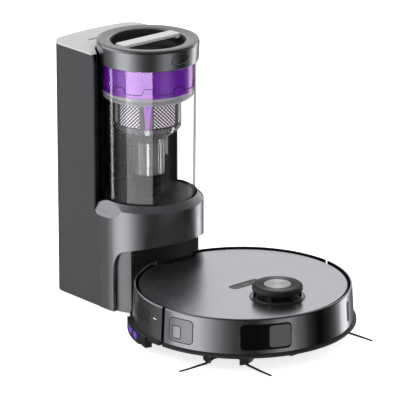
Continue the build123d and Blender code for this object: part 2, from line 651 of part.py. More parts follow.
with BuildPart() as chassis:
    disc(level(ROBOT_Y, PAN_LOW), PAN_FLAT_R + 1, PAN_THICK)
    turned(
        [
            (PAN_FLAT_R, PAN_LOW),
            (PAN_R, PAN_EDGE_Z),
            (PAN_R, PAN_TOP),
            (PAN_R - 3, PAN_TOP),
            (PAN_R - 3, PAN_EDGE_Z + PAN_THICK),
            (PAN_FLAT_R, PAN_LOW + PAN_THICK),
        ],
        upright(ROBOT_Y),
        upright_axis(ROBOT_Y),
    )
    # behind the wheels the floor pan stays low and flat, out to the wall
    rear = WELL_BACK + 2
    block(
        level(ROBOT_Y, 0), 400, 200, PAN_EDGE_Z + PAN_THICK, at=(0, rear + 100), mode=Mode.SUBTRACT
    )
    for inner_radius, high in ((0, PAN_THICK), (PAN_R - 3, PAN_EDGE_Z + PAN_THICK - PAN_LOW)):
        with BuildSketch(level(ROBOT_Y, PAN_LOW)):
            Circle(PAN_R)
            if inner_radius:
                Circle(inner_radius, mode=Mode.SUBTRACT)
            with Locations((0, rear - 200)):
                Rectangle(400, 400, mode=Mode.SUBTRACT)
        extrude(amount=high)
    with BuildSketch(level(ROBOT_Y, PAN_LOW)):
        with Locations((0, rear + 1.2)):
            Rectangle(400, 2.4)
        Circle(PAN_R, mode=Mode.INTERSECT)
        Circle(PAN_FLAT_R, mode=Mode.SUBTRACT)
    extrude(amount=PAN_EDGE_Z + PAN_THICK - PAN_LOW)
    # lower lip at the back, with a gap on each flank for the mop plate's clip
    for start, end in (
        (SHELL_START, CLIP_START - 0.3),
        (CLIP_END + 0.3, 359.7 - CLIP_END),
        (360.3 - CLIP_START, 360 - SHELL_START),
    ):
        with BuildSketch(level(ROBOT_Y, LIP_LOW)):
            lip_face(start, end)
        extrude(amount=WALL_LOW - LIP_LOW)
    # wheel wells, brush tunnel and motor housings stand on the floor pan
    for side in (-1, 1):
        middle = side * (WELL_INNER + WELL_OUTER) / 2
        wide = WELL_OUTER - WELL_INNER
        deep = WELL_BACK - WELL_FRONT
        at = (middle, (WELL_BACK + WELL_FRONT) / 2)
        block(level(ROBOT_Y, PAN_LOW), wide + 4, deep + 4, WELL_TOP + 2 - PAN_LOW, at=at)
        block(level(ROBOT_Y, 0), wide, deep, WELL_TOP, at=at, mode=Mode.SUBTRACT)
    block(
        level(ROBOT_Y, PAN_LOW), BRUSH_TUNNEL[0] + 4, BRUSH_TUNNEL[1] + 4, 34, at=(0, BRUSH_Y)
    )
    block(
        level(ROBOT_Y, 0), *BRUSH_TUNNEL, PAN_LOW + 31.6, at=(0, BRUSH_Y), mode=Mode.SUBTRACT
    )
    for x, y in SIDE_HUBS:
        # the arms turn in a round recess, under the motor's housing
        with BuildSketch(level(ROBOT_Y, PAN_LOW)):
            with Locations((x, y)):
                Circle(SIDE_RECESS + 2.4)
            Circle(PAN_R - 1, mode=Mode.INTERSECT)
        extrude(amount=SIDE_CEILING + 2.4 - PAN_LOW)
        disc(level(ROBOT_Y + y, 0, x), SIDE_RECESS, SIDE_CEILING, Mode.SUBTRACT)
        disc(level(ROBOT_Y + y, SIDE_CEILING, x), 20, 26)
        disc(level(ROBOT_Y + y, 0, x), 6, 60, Mode.SUBTRACT)
    disc(level(ROBOT_Y + CASTER_Y, PAN_LOW), 22, 32)
    disc(level(ROBOT_Y + CASTER_Y, 0), 19, 38, Mode.SUBTRACT)
    disc(level(ROBOT_Y + CASTER_Y, 30), AXLE_R + RUNNING_FIT, 20, Mode.SUBTRACT)
    # pins that the wheel arms swing on, and the ends that the main brush turns in
    for side in (-1, 1):
        start = WELL_INNER - 2 if side > 0 else -WELL_INNER - 14
        rod((start, ROBOT_Y + ARM_Y, ARM_Z), 4, 16)
        bearing = BRUSH_HALF + 1.6 if side > 0 else -BRUSH_HALF - 3.2
        block(
            sideways(ROBOT_Y, bearing), 12, 28, 1.6, at=(BRUSH_Y, BRUSH_Z + 10)
        )
        rod((bearing - 4, ROBOT_Y + BRUSH_Y, BRUSH_Z), 3 + RUNNING_FIT, 14, Mode.SUBTRACT)
finish(chassis.part, "chassis")

with BuildPart() as rear_shell:
    turned(wall_profile(), upright(ROBOT_Y), upright_axis(ROBOT_Y))
    keep_slice(ROBOT_Y, 0, 120, SHELL_START, 360 - SHELL_START)
    # dark finger shelf at the back, below the deck
    with BuildSketch(level(ROBOT_Y, 79)):
        with BuildLine():
            Polyline(
                (-NOTCH_FLARE - 3, SHELL_INNER - 4),
                (-NOTCH_HALF - 2, NOTCH_Y - 4),
                (NOTCH_HALF + 2, NOTCH_Y - 4),
                (NOTCH_FLARE + 3, SHELL_INNER - 4),
                (NOTCH_FLARE + 3, SHELL_INNER + 2),
                (-NOTCH_FLARE - 3, SHELL_INNER + 2),
                close=True,
            )
        make_face()
    extrude(amount=3)
    with BuildSketch(level(ROBOT_Y, 82)):
        with BuildLine():
            Polyline(
                (-NOTCH_FLARE, SHELL_INNER - 6),
                (NOTCH_FLARE, SHELL_INNER - 6),
                (NOTCH_FLARE + 2, WALL_R + 4),
                (-NOTCH_FLARE - 2, WALL_R + 4),
                close=True,
            )
        make_face()
    extrude(amount=20, mode=Mode.SUBTRACT)
    # rows of fine exhaust slots on both rear flanks
    for side in (-1, 1):
        for row in range(5):
            for column in range(5):
                angle = side * (100.6 + 4.3 * column)
                z = 52.6 + 4.5 * row
                with BuildSketch(facing(angle, WALL_R - 10, z)):
                    Rectangle(13.8, 2.3)
                extrude(amount=20, mode=Mode.SUBTRACT)
finish(rear_shell.part, "rear_shell")

with BuildPart() as deck:
    disc(level(ROBOT_Y, DECK_Z - DECK_THICK), DECK_R, DECK_THICK)
    fillet(deck.faces().sort_by(Axis.Z)[-1].edges(), 0.8)
    disc(level(ROBOT_Y + LIDAR_Y, 60), 43.4, 60, Mode.SUBTRACT)
    block(
        level(ROBOT_Y, 60), PILL_LENGTH + 1, PILL_WIDTH + 1, 60, at=(0, PILL_Y),
        corner=PILL_WIDTH / 2, mode=Mode.SUBTRACT,
    )
    with BuildSketch(level(ROBOT_Y, 60)):
        with BuildLine():
            Polyline(
                (-NOTCH_FLARE, SHELL_INNER),
                (-NOTCH_HALF - 4, NOTCH_Y + 6),
                (-NOTCH_HALF + 4, NOTCH_Y),
                (NOTCH_HALF - 4, NOTCH_Y),
                (NOTCH_HALF + 4, NOTCH_Y + 6),
                (NOTCH_FLARE, SHELL_INNER),
                close=True,
            )
        make_face()
    extrude(amount=60, mode=Mode.SUBTRACT)
finish(deck.part, "deck")

BASE_FLOOR = 82.4
with BuildPart() as lidar_base:
    disc(level(ROBOT_Y + LIDAR_Y, BASE_FLOOR), 43, 3)
    ring(level(ROBOT_Y + LIDAR_Y, BASE_FLOOR), 43, 41, 5.8)
    ring(level(ROBOT_Y + LIDAR_Y, BASE_FLOOR), 39.4, 36, 7)
    disc(level(ROBOT_Y + LIDAR_Y, BASE_FLOOR), 6, 10)
    for turn in range(6):
        heading = 60 * turn + 30
        with BuildSketch(level(ROBOT_Y + LIDAR_Y, BASE_FLOOR)):
            with Locations(Location((0, 0, 0), (0, 0, heading))):
                with Locations((36.5, 0)):
                    RectangleRounded(3.4, 6, 1)
        extrude(amount=CAP_LOW - BASE_FLOOR)
finish(lidar_base.part, "lidar_base")

with BuildPart() as lidar_cap:
    turned(
        [
            (0, CAP_LOW),
            (CAP_R - 1, CAP_LOW),
            (CAP_R, CAP_LOW + 1),
            (CAP_R, CAP_TOP - 4),
            (CAP_R - 0.8, CAP_TOP - 2),
            (CAP_R - 3, CAP_TOP - 0.4),
            (CAP_R - 6, CAP_TOP),
            (21.6, CAP_TOP),
            (21.6, CAP_TOP - 1.6),
            (0, CAP_TOP - 1.6),
        ],
        upright(ROBOT_Y, y=LIDAR_Y),
        upright_axis(ROBOT_Y, y=LIDAR_Y),
    )
finish(lidar_cap.part, "lidar_cap")

with BuildPart() as lidar_badge:
    disc(level(ROBOT_Y + LIDAR_Y, CAP_TOP - 1.6), 21.2, 1.5)
    fillet(lidar_badge.faces().sort_by(Axis.Z)[-1].edges(), 0.5)
finish(lidar_badge.part, "lidar_badge")

with BuildPart() as lidar_rotor:
    disc(level(ROBOT_Y + LIDAR_Y, BASE_FLOOR + 3.6), 32, 4)
    block(level(ROBOT_Y + LIDAR_Y, BASE_FLOOR + 7.6), 30, 26, 7.6, at=(0, -10), corner=4)
    disc(level(ROBOT_Y + LIDAR_Y, BASE_FLOOR + 7.6), 12, 6)
    disc(level(ROBOT_Y + LIDAR_Y, 60), 6 + RUNNING_FIT, BASE_FLOOR + 11 - 60, Mode.SUBTRACT)
    for x in (-8, 8):
        with BuildSketch(upright(ROBOT_Y, y=LIDAR_Y - 20)):
            with Locations((x, BASE_FLOOR + 11.4)):
                Circle(2.6)
        extrude(amount=10, mode=Mode.SUBTRACT)
finish(lidar_rotor.part, "lidar_rotor")

# three keys in one pill: a round end, a middle bar and the other round end
KEY_SPANS = {
    "clean_button": (-PILL_LENGTH / 2, -11.0),
    "power_button": (-11.0 + PLAY, 11.0 - PLAY),
    "dock_button": (11.0, PILL_LENGTH / 2),
}
for key_name, (key_left, key_right) in KEY_SPANS.items():
    with BuildPart() as key:
        block(
            level(ROBOT_Y, DECK_Z - 6), PILL_LENGTH, PILL_WIDTH, 5.6, at=(0, PILL_Y),
            corner=PILL_WIDTH / 2 - 0.01,
        )
        fillet(key.faces().sort_by(Axis.Z)[-1].edges(), 0.8)
        with BuildSketch(level(ROBOT_Y, DECK_Z - 20)):
            with Locations(((key_left + key_right) / 2, PILL_Y)):
                Rectangle(key_right - key_left, 40)
        extrude(amount=40, mode=Mode.INTERSECT)
    finish(key.part, key_name)

# ---- bumper -------------------------------------------------------------------------------

WINDOW_INNER = SHELL_INNER + 0.8
WINDOW_SPANS = [
    (-43.0, -16.0, 40.0, 81.0, 7.0),
    (-82.6, -67.8, 41.0, 80.0, 7.0),
    (27.2, 30.8, 46.0, 79.0, 5.0),
]
with BuildPart() as bumper:
    turned(wall_profile(), upright(ROBOT_Y), upright_axis(ROBOT_Y))
    keep_slice(ROBOT_Y, 0, 120, -BUMPER_END, BUMPER_END)
for span in WINDOW_SPANS:
    opening = wall_patch(*span, WINDOW_INNER, WALL_R + 2)
    with bumper:
        add(opening, mode=Mode.SUBTRACT)
finish(bumper.part, "bumper")

with BuildPart() as bumper_lip:
    turned(
        [
            (SHELL_INNER + 1, LIP_LOW),
            (LIP_R - 1.4, LIP_LOW),
            (LIP_R, LIP_LOW + 1.4),
            (LIP_R, WALL_LOW - 2),
            (LIP_R - 1.2, WALL_LOW - 0.6),
            (WALL_R + WALL_FLARE, WALL_LOW - 0.05),
            (SHELL_INNER + 1, WALL_LOW - 0.05),
        ],
        upright(ROBOT_Y),
        upright_axis(ROBOT_Y),
    )
    keep_slice(ROBOT_Y, 0, 120, -BUMPER_END, BUMPER_END)
finish(bumper_lip.part, "bumper_lip")

window_panes = []
for start, end, low, high, corner in WINDOW_SPANS:
    pane = wall_patch(
        start + 0.14, end - 0.14, low + 0.3, high - 0.3, corner - 0.3, WINDOW_INNER + 0.05, WALL_R - 0.1
    )
    window_panes.append(pane)
with BuildPart() as bumper_windows:
    add(window_panes)
finish(bumper_windows.part, "bumper_windows")

# ---- robot: what is inside ----------------------------------------------------------------

with BuildPart() as main_board:
    block(level(ROBOT_Y, 76), 150, 90, 1.6, at=(0, 16), corner=4)
    for x in (-20.5, 0, 20.5):
        block(level(ROBOT_Y, 77.6), 6, 6, 1.6, at=(x, PILL_Y))
    for x, y, w in ((-40, 30, 20), (10, 32, 16), (45, 25, 14), (30, 48, 10)):
        block(level(ROBOT_Y, 77.6), w, w, 2.2, at=(x, y))
finish(main_board.part, "main_board")

with BuildPart() as battery:
    block(level(ROBOT_Y, PAN_LOW + PAN_THICK + 0.2), 126, 40, 48, at=(0, -60), corner=6)
finish(battery.part, "battery")

with BuildPart() as dust_box:
    block(level(ROBOT_Y, PAN_LOW + PAN_THICK + 0.2), 112, 82, 60, at=(14, 104), corner=8)
    block(level(ROBOT_Y, 22), 104, 74, 49, at=(14, 104), corner=6, mode=Mode.SUBTRACT)
    # mouth towards the brush, and outlet towards the station
    with BuildSketch(upright(ROBOT_Y, y=60)):
        with Locations((10, 34)):
            RectangleRounded(70, 18, 4)
    extrude(amount=-12, mode=Mode.SUBTRACT)
    with BuildSketch(upright(ROBOT_Y, y=136)):
        with Locations((0, 52)):
            RectangleRounded(32, 12, 4)
    extrude(amount=-20, mode=Mode.SUBTRACT)
finish(dust_box.part, "dust_box")

BLOWER_X, BLOWER_Y = -77.0, 105.0
with BuildPart() as blower:
    disc(level(ROBOT_Y + BLOWER_Y, PAN_LOW + PAN_THICK + 0.2, BLOWER_X), 26, 44)
    block(level(ROBOT_Y, 30), 34, 24, 22, at=(BLOWER_X + 17, BLOWER_Y + 6))
    disc(level(ROBOT_Y + BLOWER_Y, 50, BLOWER_X), 12, 20, Mode.SUBTRACT)
finish(blower.part, "blower")

# ---- running gear -------------------------------------------------------------------------

for side, side_name in ((-1, "left"), (1, "right")):
    inner_face = WELL_INNER + 2 if side > 0 else -WELL_INNER - 12
    axle_start = WELL_INNER + 2 if side > 0 else -WHEEL_X - WHEEL_WIDE / 2 - 1
    with BuildPart() as wheel_arm:
        with BuildSketch(sideways(ROBOT_Y, inner_face)):
            with BuildLine():
                Polyline(
                    (WHEEL_Y, WHEEL_R - 12),
                    (ARM_Y, ARM_Z - 9),
                    (ARM_Y, ARM_Z + 9),
                    (WHEEL_Y, WHEEL_R + 12),
                    close=True,
                )
            make_face()
            with Locations((WHEEL_Y, WHEEL_R)):
                Circle(13)
            with Locations((ARM_Y, ARM_Z)):
                Circle(9)
                Circle(4 + RUNNING_FIT, mode=Mode.SUBTRACT)
        extrude(amount=10)
        rod((axle_start, ROBOT_Y + WHEEL_Y, WHEEL_R), AXLE_R, WHEEL_X + WHEEL_WIDE / 2 + 1 - WELL_INNER - 2)
    finish(wheel_arm.part, f"wheel_arm_{side_name}")

    with BuildPart() as wheel:
        tread_start = side * WHEEL_X - WHEEL_WIDE / 2
        rod((tread_start, ROBOT_Y + WHEEL_Y, WHEEL_R), WHEEL_R, WHEEL_WIDE)
        for turn in range(24):
            heading = radians(15 * turn)
            groove_y = ROBOT_Y + WHEEL_Y + (WHEEL_R + 0.6) * cos(heading)
            groove_z = WHEEL_R + (WHEEL_R + 0.6) * sin(heading)
            rod((tread_start - 1, groove_y, groove_z), 1.8, WHEEL_WIDE + 2, Mode.SUBTRACT)
        rod((tread_start - 1, ROBOT_Y + WHEEL_Y, WHEEL_R), AXLE_R + RUNNING_FIT, 40, Mode.SUBTRACT)
        outer_face = tread_start + WHEEL_WIDE - 3 if side > 0 else tread_start - 5
        plane = Plane(
            origin=(outer_face, ROBOT_Y + WHEEL_Y, WHEEL_R), x_dir=(0, 1, 0), z_dir=(1, 0, 0)
        )
        ring(plane, 25, 11, 8, Mode.SUBTRACT)
    finish(wheel.part, f"wheel_{side_name}")

with BuildPart() as caster_fork:
    disc(level(ROBOT_Y + CASTER_Y, 19), 17.6, 11)
    disc(level(ROBOT_Y + CASTER_Y, 30), AXLE_R, 13)
    for side in (-1, 1):
        block(level(ROBOT_Y + CASTER_Y, 8), 3, 14, 14, at=(side * 9.6, CASTER_TRAIL), corner=1)
    block(level(ROBOT_Y + CASTER_Y, 10), 16, 30, 15.6, at=(0, CASTER_TRAIL), mode=Mode.SUBTRACT)
    rod((-10, ROBOT_Y + CASTER_Y + CASTER_TRAIL, CASTER_R), 2, 20)
finish(caster_fork.part, "caster_fork")

with BuildPart() as caster_wheel:
    rod((-7, ROBOT_Y + CASTER_Y + CASTER_TRAIL, CASTER_R), CASTER_R, 14)
    fillet(caster_wheel.edges().filter_by(GeomType.CIRCLE), 2)
    rod((-8, ROBOT_Y + CASTER_Y + CASTER_TRAIL, CASTER_R), 2 + RUNNING_FIT, 16, Mode.SUBTRACT)
finish(caster_wheel.part, "caster_wheel")

with BuildPart() as main_brush:
    rod((-BRUSH_HALF, ROBOT_Y + BRUSH_Y, BRUSH_Z), 11, 2 * BRUSH_HALF)
    rod((-BRUSH_HALF - 4, ROBOT_Y + BRUSH_Y, BRUSH_Z), 3, 2 * BRUSH_HALF + 8)
    for turn in range(6):
        heading = 60 * turn
        with BuildSketch(sideways(ROBOT_Y + BRUSH_Y, -BRUSH_HALF)):
            with Locations(Location((0, BRUSH_Z, 0), (0, 0, heading))):
                with Locations((14.5, 0)):
                    Rectangle(9.5, 2.2)
        extrude(amount=2 * BRUSH_HALF)
finish(main_brush.part, "main_brush")

for side, side_name in ((-1, "left"), (1, "right")):
    hub_x = side * SIDE_X
    hub_y = ROBOT_Y + SIDE_Y
    with BuildPart() as side_brush:
        disc(level(hub_y, SIDE_HUB_LOW, hub_x), 10.5, 6)
        disc(level(hub_y, SIDE_HUB_LOW + 5, hub_x), 5, 18)
        for turn in range(3):
            heading = radians(SIDE_TURN[side_name] + 120 * turn)
            along = Vector(cos(heading), sin(heading), 0)
            plane = Plane(
                origin=(hub_x, hub_y, 0), x_dir=along, z_dir=(along.Y, -along.X, 0)
            )
            # a thick rubber arm that arches down, then bristles that reach the floor
            tip = SIDE_REACH[side_name]
            with BuildSketch(plane):
                with BuildLine():
                    Polyline(
                        (8, 15.6), (14, 15.6), (25, 13.8), (33, 9.2), (SIDE_ARM, 7.2),
                        (SIDE_ARM, 9.8), (34, 12.0), (26, 16.8), (14, 18.8), (8, 19.2),
                        close=True,
                    )
                make_face()
            extrude(amount=2.1, both=True)
            with BuildSketch(plane):
                with BuildLine():
                    Polyline(
                        (SIDE_ARM - 2, 7.4), (52, 4.8), (66, 2.6), (tip, 0.8), (tip, 2.2),
                        (66, 4.4), (52, 7.0), (SIDE_ARM - 2, 9.8),
                        close=True,
                    )
                make_face()
            extrude(amount=1.6, both=True)
    finish(side_brush.part, f"side_brush_{side_name}")

# ---- mop ----------------------------------------------------------------------------------

PLATE_LOW, PLATE_THICK, PLATE_R, PLATE_FRONT = 6.4, 5.2, 166.0, 88.0


def clip_face(inner_radius, start, end, outer_radius):
    """The plan of a mop plate's clip between two angles from the front."""
    with BuildLine() as outline:
        outer = CenterArc((0, 0), outer_radius, start - 90, end - start)
        inner = CenterArc((0, 0), inner_radius, start - 90, end - start)
        Line(outer @ 0, inner @ 0)
        Line(outer @ 1, inner @ 1)
    make_face(outline.edges())


with BuildPart() as mop_bracket:
    disc(level(ROBOT_Y, PLATE_LOW), PLATE_R, PLATE_THICK)
    block(level(ROBOT_Y, 0), 400, 400, 30, at=(0, PLATE_FRONT - 200), mode=Mode.SUBTRACT)
    fillet(mop_bracket.edges().filter_by(Axis.Z), 14)
    for side in (-1, 1):
        start = CLIP_START if side > 0 else -CLIP_END
        end = start + CLIP_END - CLIP_START
        middle = side * (CLIP_START + CLIP_END) / 2
        # the clip climbs the flank, and its foot runs in to the plate
        with BuildSketch(level(ROBOT_Y, 16)):
            clip_face(PAN_R + 1.6, start, end, CLIP_OUT)
        extrude(amount=CLIP_TOP - 16)
        for inner_radius, high in ((PLATE_R - 8, PLATE_THICK), (PAN_R + 1.6, 16 - PLATE_LOW)):
            with BuildSketch(level(ROBOT_Y, PLATE_LOW)):
                clip_face(inner_radius, middle - 9, middle + 9, PAN_R + 5)
            extrude(amount=high)
        # its lower edge rises towards the front
        rise = middle - side * 7
        with BuildSketch(facing(rise, 150, 0)):
            with BuildLine():
                Polyline(
                    (-side * 8, 10), (-side * 8, 16), (-side * 60, 29), (-side * 60, 10),
                    close=True,
                )
            make_face()
        extrude(amount=60, mode=Mode.SUBTRACT)
        # a pocket for the latch, with a guard rib across its middle
        block(facing(middle, CLIP_OUT - 8.4, 25), 44.8, 11.8, 20, corner=3, mode=Mode.SUBTRACT)
        block(facing(middle, CLIP_OUT - 3.2, 25), 6, 12.4, 2.2, mode=Mode.ADD)
finish(mop_bracket.part, "mop_bracket")

for side, side_name in ((-1, "left"), (1, "right")):
    middle = side * (CLIP_START + CLIP_END) / 2
    with BuildPart() as mop_latch:
        block(facing(middle, CLIP_OUT - 6, 25), 44, 11, 4.6, corner=2.6)
        block(facing(middle, CLIP_OUT - 3.6, 25), 7.2, 20, 8, mode=Mode.SUBTRACT)
    finish(mop_latch.part, f"mop_latch_{side_name}")

with BuildPart() as mop_pad:
    disc(level(ROBOT_Y, 0.6), PLATE_R - 1, PLATE_LOW - 1.0)
    block(level(ROBOT_Y, 0), 400, 400, 30, at=(0, PLATE_FRONT + 3 - 200), mode=Mode.SUBTRACT)
    fillet(mop_pad.edges().filter_by(Axis.Z), 14)
finish(mop_pad.part, "mop_pad")
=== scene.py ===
import bmesh
import bpy
from math import atan2, cos, pi, radians, sin, tau
from mathutils import Matrix, Vector


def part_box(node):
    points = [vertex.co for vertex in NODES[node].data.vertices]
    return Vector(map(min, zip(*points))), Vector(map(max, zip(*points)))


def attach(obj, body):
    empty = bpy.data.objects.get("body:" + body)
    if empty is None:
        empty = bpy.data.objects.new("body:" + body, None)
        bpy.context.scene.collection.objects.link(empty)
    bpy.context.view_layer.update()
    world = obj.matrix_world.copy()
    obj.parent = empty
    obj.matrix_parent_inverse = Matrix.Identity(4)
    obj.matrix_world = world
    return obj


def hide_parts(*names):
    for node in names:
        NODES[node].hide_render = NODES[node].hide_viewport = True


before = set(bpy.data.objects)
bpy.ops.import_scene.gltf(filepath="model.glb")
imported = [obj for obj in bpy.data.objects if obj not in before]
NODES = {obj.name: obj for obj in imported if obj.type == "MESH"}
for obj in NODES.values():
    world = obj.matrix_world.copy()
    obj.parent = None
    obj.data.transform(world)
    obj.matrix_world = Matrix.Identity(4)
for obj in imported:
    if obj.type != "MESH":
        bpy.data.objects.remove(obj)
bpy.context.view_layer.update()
MM = 0.001

# A robot vacuum docked at its bagless emptying station.  Metres, +Z up, the front faces -Y.
# Headings run from the front about an upright axis, positive towards +X, in degrees unless said.


# ---- places read from the parts in model.glb ------------------------------------------------


def centre(node):
    low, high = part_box(node)
    return (low + high) / 2


CUP = centre("canister")
CUP.z = 0
TURRET = centre("lidar_badge")
TURRET_FORWARD = 80 * MM  # how far in front of the robot's middle the turret stands
ROBOT = Vector((0, TURRET.y + TURRET_FORWARD, 0))


# ---- camera, lights and floor -----------------------------------------------------------------

CAMERA_HEADING, CAMERA_RISE = radians(-40.784), radians(18.374)  # radians
CAMERA_DISTANCE, CAMERA_LENS = 5.8424, 335.94
CAMERA_AIM = Vector((-0.0247, -0.0258, 0.2110))

LAMP_AIM, LAMP_DISTANCE, LAMP_SIZE = Vector((0, 0, 0.15)), 2.6, 1.6
FLOOR_HALF, FLOOR_DROP = 12, 0.0002


def outward(heading, rise=0.0):
    """The direction away from the object at a heading and a rise, both in radians."""
    return Vector((sin(heading) * cos(rise), -cos(heading) * cos(rise), sin(rise)))


def add_object(name, data):
    made = bpy.data.objects.new(name, data)
    bpy.context.scene.collection.objects.link(made)
    return made


def build_camera():
    data = bpy.data.cameras.new("camera")
    data.lens = CAMERA_LENS
    data.sensor_width = 36
    data.clip_end = 100
    camera = add_object("camera", data)
    back = outward(CAMERA_HEADING, CAMERA_RISE)
    right = Vector((cos(CAMERA_HEADING), sin(CAMERA_HEADING), 0))
    up = back.cross(right)
    turn = Matrix((right, up, back)).transposed().to_4x4()
    camera.matrix_world = Matrix.Translation(CAMERA_AIM + back * CAMERA_DISTANCE) @ turn
    bpy.context.scene.camera = camera


def area_light(name, heading, rise, power):
    """A square soft box aimed at the object, which no mirror image shows."""
    data = bpy.data.lights.new(name, "AREA")
    data.shape = "RECTANGLE"
    data.size = data.size_y = LAMP_SIZE
    data.energy = power
    lamp = add_object(name, data)
    direction = outward(radians(heading), radians(rise))
    lamp.location = LAMP_AIM + direction * LAMP_DISTANCE
    lamp.rotation_euler = direction.to_track_quat("Z", "Y").to_euler()
    lamp.visible_glossy = False
    lamp.visible_camera = False


# What glossy surfaces mirror, as pairs of heading and brightness: below the horizon, where
# upright walls look, and above it, where the deck and the tops look.
LOW_GLOW = [
    (-180, 0.06), (-160, 0.09), (-140, 0.17), (-127, 0.28), (-113, 0.85), (-100, 0.98),
    (-88, 0.90), (-78, 0.60), (-68, 0.32), (-58, 0.15), (-48, 0.07), (-30, 0.03),
    (-14, 0.15), (-4, 0.34), (8, 0.40), (20, 0.16), (32, 0.03), (44, 0.0), (56, 0.02),
    (66, 0.08), (76, 0.32), (84, 1.4), (94, 1.65), (102, 0.50), (112, 0.20), (122, 0.10),
    (130, 0.26), (140, 0.4), (152, 0.32), (168, 0.18), (180, 0.06),
]
HIGH_GLOW = [
    (-180, 0.55), (-160, 0.70), (-120, 0.70), (-90, 0.30), (-60, 0.04), (-40, 0.02), (40, 0.02),
    (70, 0.10), (100, 0.45), (120, 0.80), (150, 0.80), (180, 0.55),
]
HORIZON_BLUR = 0.06
OVERHEAD_START, OVERHEAD_FULL = 0.50, 0.95  # upward part of the direction
OVERHEAD_TONE = (0.10, 0.10, 0.104, 1)
BACKDROP_STRENGTH = 0.95


def glow_ramp(tree, unit, stops_wanted):
    """Brightness round the horizon; unit runs from 0 to 1 over headings -180 to 180."""
    ramp = tree.nodes.new("ShaderNodeValToRGB")
    ramp.color_ramp.interpolation = "EASE"
    stops = ramp.color_ramp.elements
    while len(stops) > 1:
        stops.remove(stops[-1])
    for number, (angle, level) in enumerate(stops_wanted):
        stop = stops[0] if number == 0 else stops.new((angle + 180) / 360)
        stop.position = (angle + 180) / 360
        stop.color = (level, level, level, 1)
    tree.links.new(unit, ramp.inputs["Fac"])
    return ramp.outputs["Color"]


def build_world():
    """An even white backdrop; glossy rays meet upright soft boxes at set headings instead."""
    world = bpy.data.worlds.new("studio")
    bpy.context.scene.world = world
    world.use_nodes = True
    tree = world.node_tree
    tree.nodes.clear()
    new = tree.nodes.new
    link = tree.links.new
    place = new("ShaderNodeTexCoord")
    split = new("ShaderNodeSeparateXYZ")
    link(place.outputs["Generated"], split.inputs[0])
    flip = new("ShaderNodeMath")
    flip.operation = "MULTIPLY"
    flip.inputs[1].default_value = -1
    link(split.outputs["Y"], flip.inputs[0])
    heading = new("ShaderNodeMath")
    heading.operation = "ARCTAN2"
    link(split.outputs["X"], heading.inputs[0])
    link(flip.outputs[0], heading.inputs[1])
    unit = new("ShaderNodeMapRange")
    unit.inputs["From Min"].default_value = -pi
    unit.inputs["From Max"].default_value = pi
    link(heading.outputs[0], unit.inputs["Value"])
    horizon = new("ShaderNodeMapRange")
    horizon.inputs["From Min"].default_value = -HORIZON_BLUR
    horizon.inputs["From Max"].default_value = HORIZON_BLUR
    link(split.outputs["Z"], horizon.inputs["Value"])
    ring = new("ShaderNodeMix")
    ring.data_type = "RGBA"
    link(horizon.outputs[0], ring.inputs["Factor"])
    link(glow_ramp(tree, unit.outputs[0], LOW_GLOW), ring.inputs["A"])
    link(glow_ramp(tree, unit.outputs[0], HIGH_GLOW), ring.inputs["B"])
    # straight overhead the two rings give way to an even, dim tone
    over = new("ShaderNodeMapRange")
    over.inputs["From Min"].default_value = OVERHEAD_START
    over.inputs["From Max"].default_value = OVERHEAD_FULL
    link(split.outputs["Z"], over.inputs["Value"])
    sky = new("ShaderNodeMix")
    sky.data_type = "RGBA"
    sky.inputs["B"].default_value = OVERHEAD_TONE
    link(over.outputs[0], sky.inputs["Factor"])
    link(ring.outputs["Result"], sky.inputs["A"])
    glossy = new("ShaderNodeBackground")
    link(sky.outputs["Result"], glossy.inputs["Color"])
    diffuse = new("ShaderNodeBackground")
    diffuse.inputs["Color"].default_value = (1, 1, 1, 1)
    diffuse.inputs["Strength"].default_value = BACKDROP_STRENGTH
    rays = new("ShaderNodeLightPath")
    pick = new("ShaderNodeMixShader")
    link(rays.outputs["Is Glossy Ray"], pick.inputs[0])
    link(diffuse.outputs[0], pick.inputs[1])
    link(glossy.outputs[0], pick.inputs[2])
    out = new("ShaderNodeOutputWorld")
    link(pick.outputs[0], out.inputs[0])


def build_floor():
    mesh = bpy.data.meshes.new("floor")
    corners = [(x * FLOOR_HALF, y * FLOOR_HALF, 0) for x, y in ((-1, -1), (1, -1), (1, 1), (-1, 1))]
    mesh.from_pydata(corners, [], [(0, 1, 2, 3)])
    floor = add_object("floor", mesh)
    floor.location.z = -FLOOR_DROP
    surface = bpy.data.materials.new("floor_white")
    surface.use_nodes = True
    shader = surface.node_tree.nodes["Principled BSDF"]
    shader.inputs["Base Color"].default_value = (0.95, 0.95, 0.95, 1)
    shader.inputs["Roughness"].default_value = 0.9
    shader.inputs["Specular IOR Level"].default_value = 0.1
    shader.inputs["Emission Color"].default_value = (1, 1, 1, 1)
    shader.inputs["Emission Strength"].default_value = 0.75
    mesh.materials.append(surface)
    floor.visible_glossy = False


# Strip lights: name, first and last heading, strength, the clear piece that mirrors the strip,
# and its distance from the cup in metres
STRIPS = [
    ("strip_broad", -95, -30, 2.5, "canister", 2.6),
    ("strip_ring", -95, -30, 3.8, "cyclone_ring", 2.7),
    ("strip_narrow", -144, -137, 7.0, "canister", 2.6),
    ("strip_tube_left", -154, -144, 12.0, "dust_tube", 2.75),
    ("strip_tube_middle", -52, -36, 12.0, "dust_tube", 2.75),
    ("strip_tube_right", 50, 62, 10.0, "dust_tube", 2.75),
]
STRIP_STEPS = 24
STRIP_LEVELS = (-1.4, 0.15)  # walls mirror what lies below the horizon


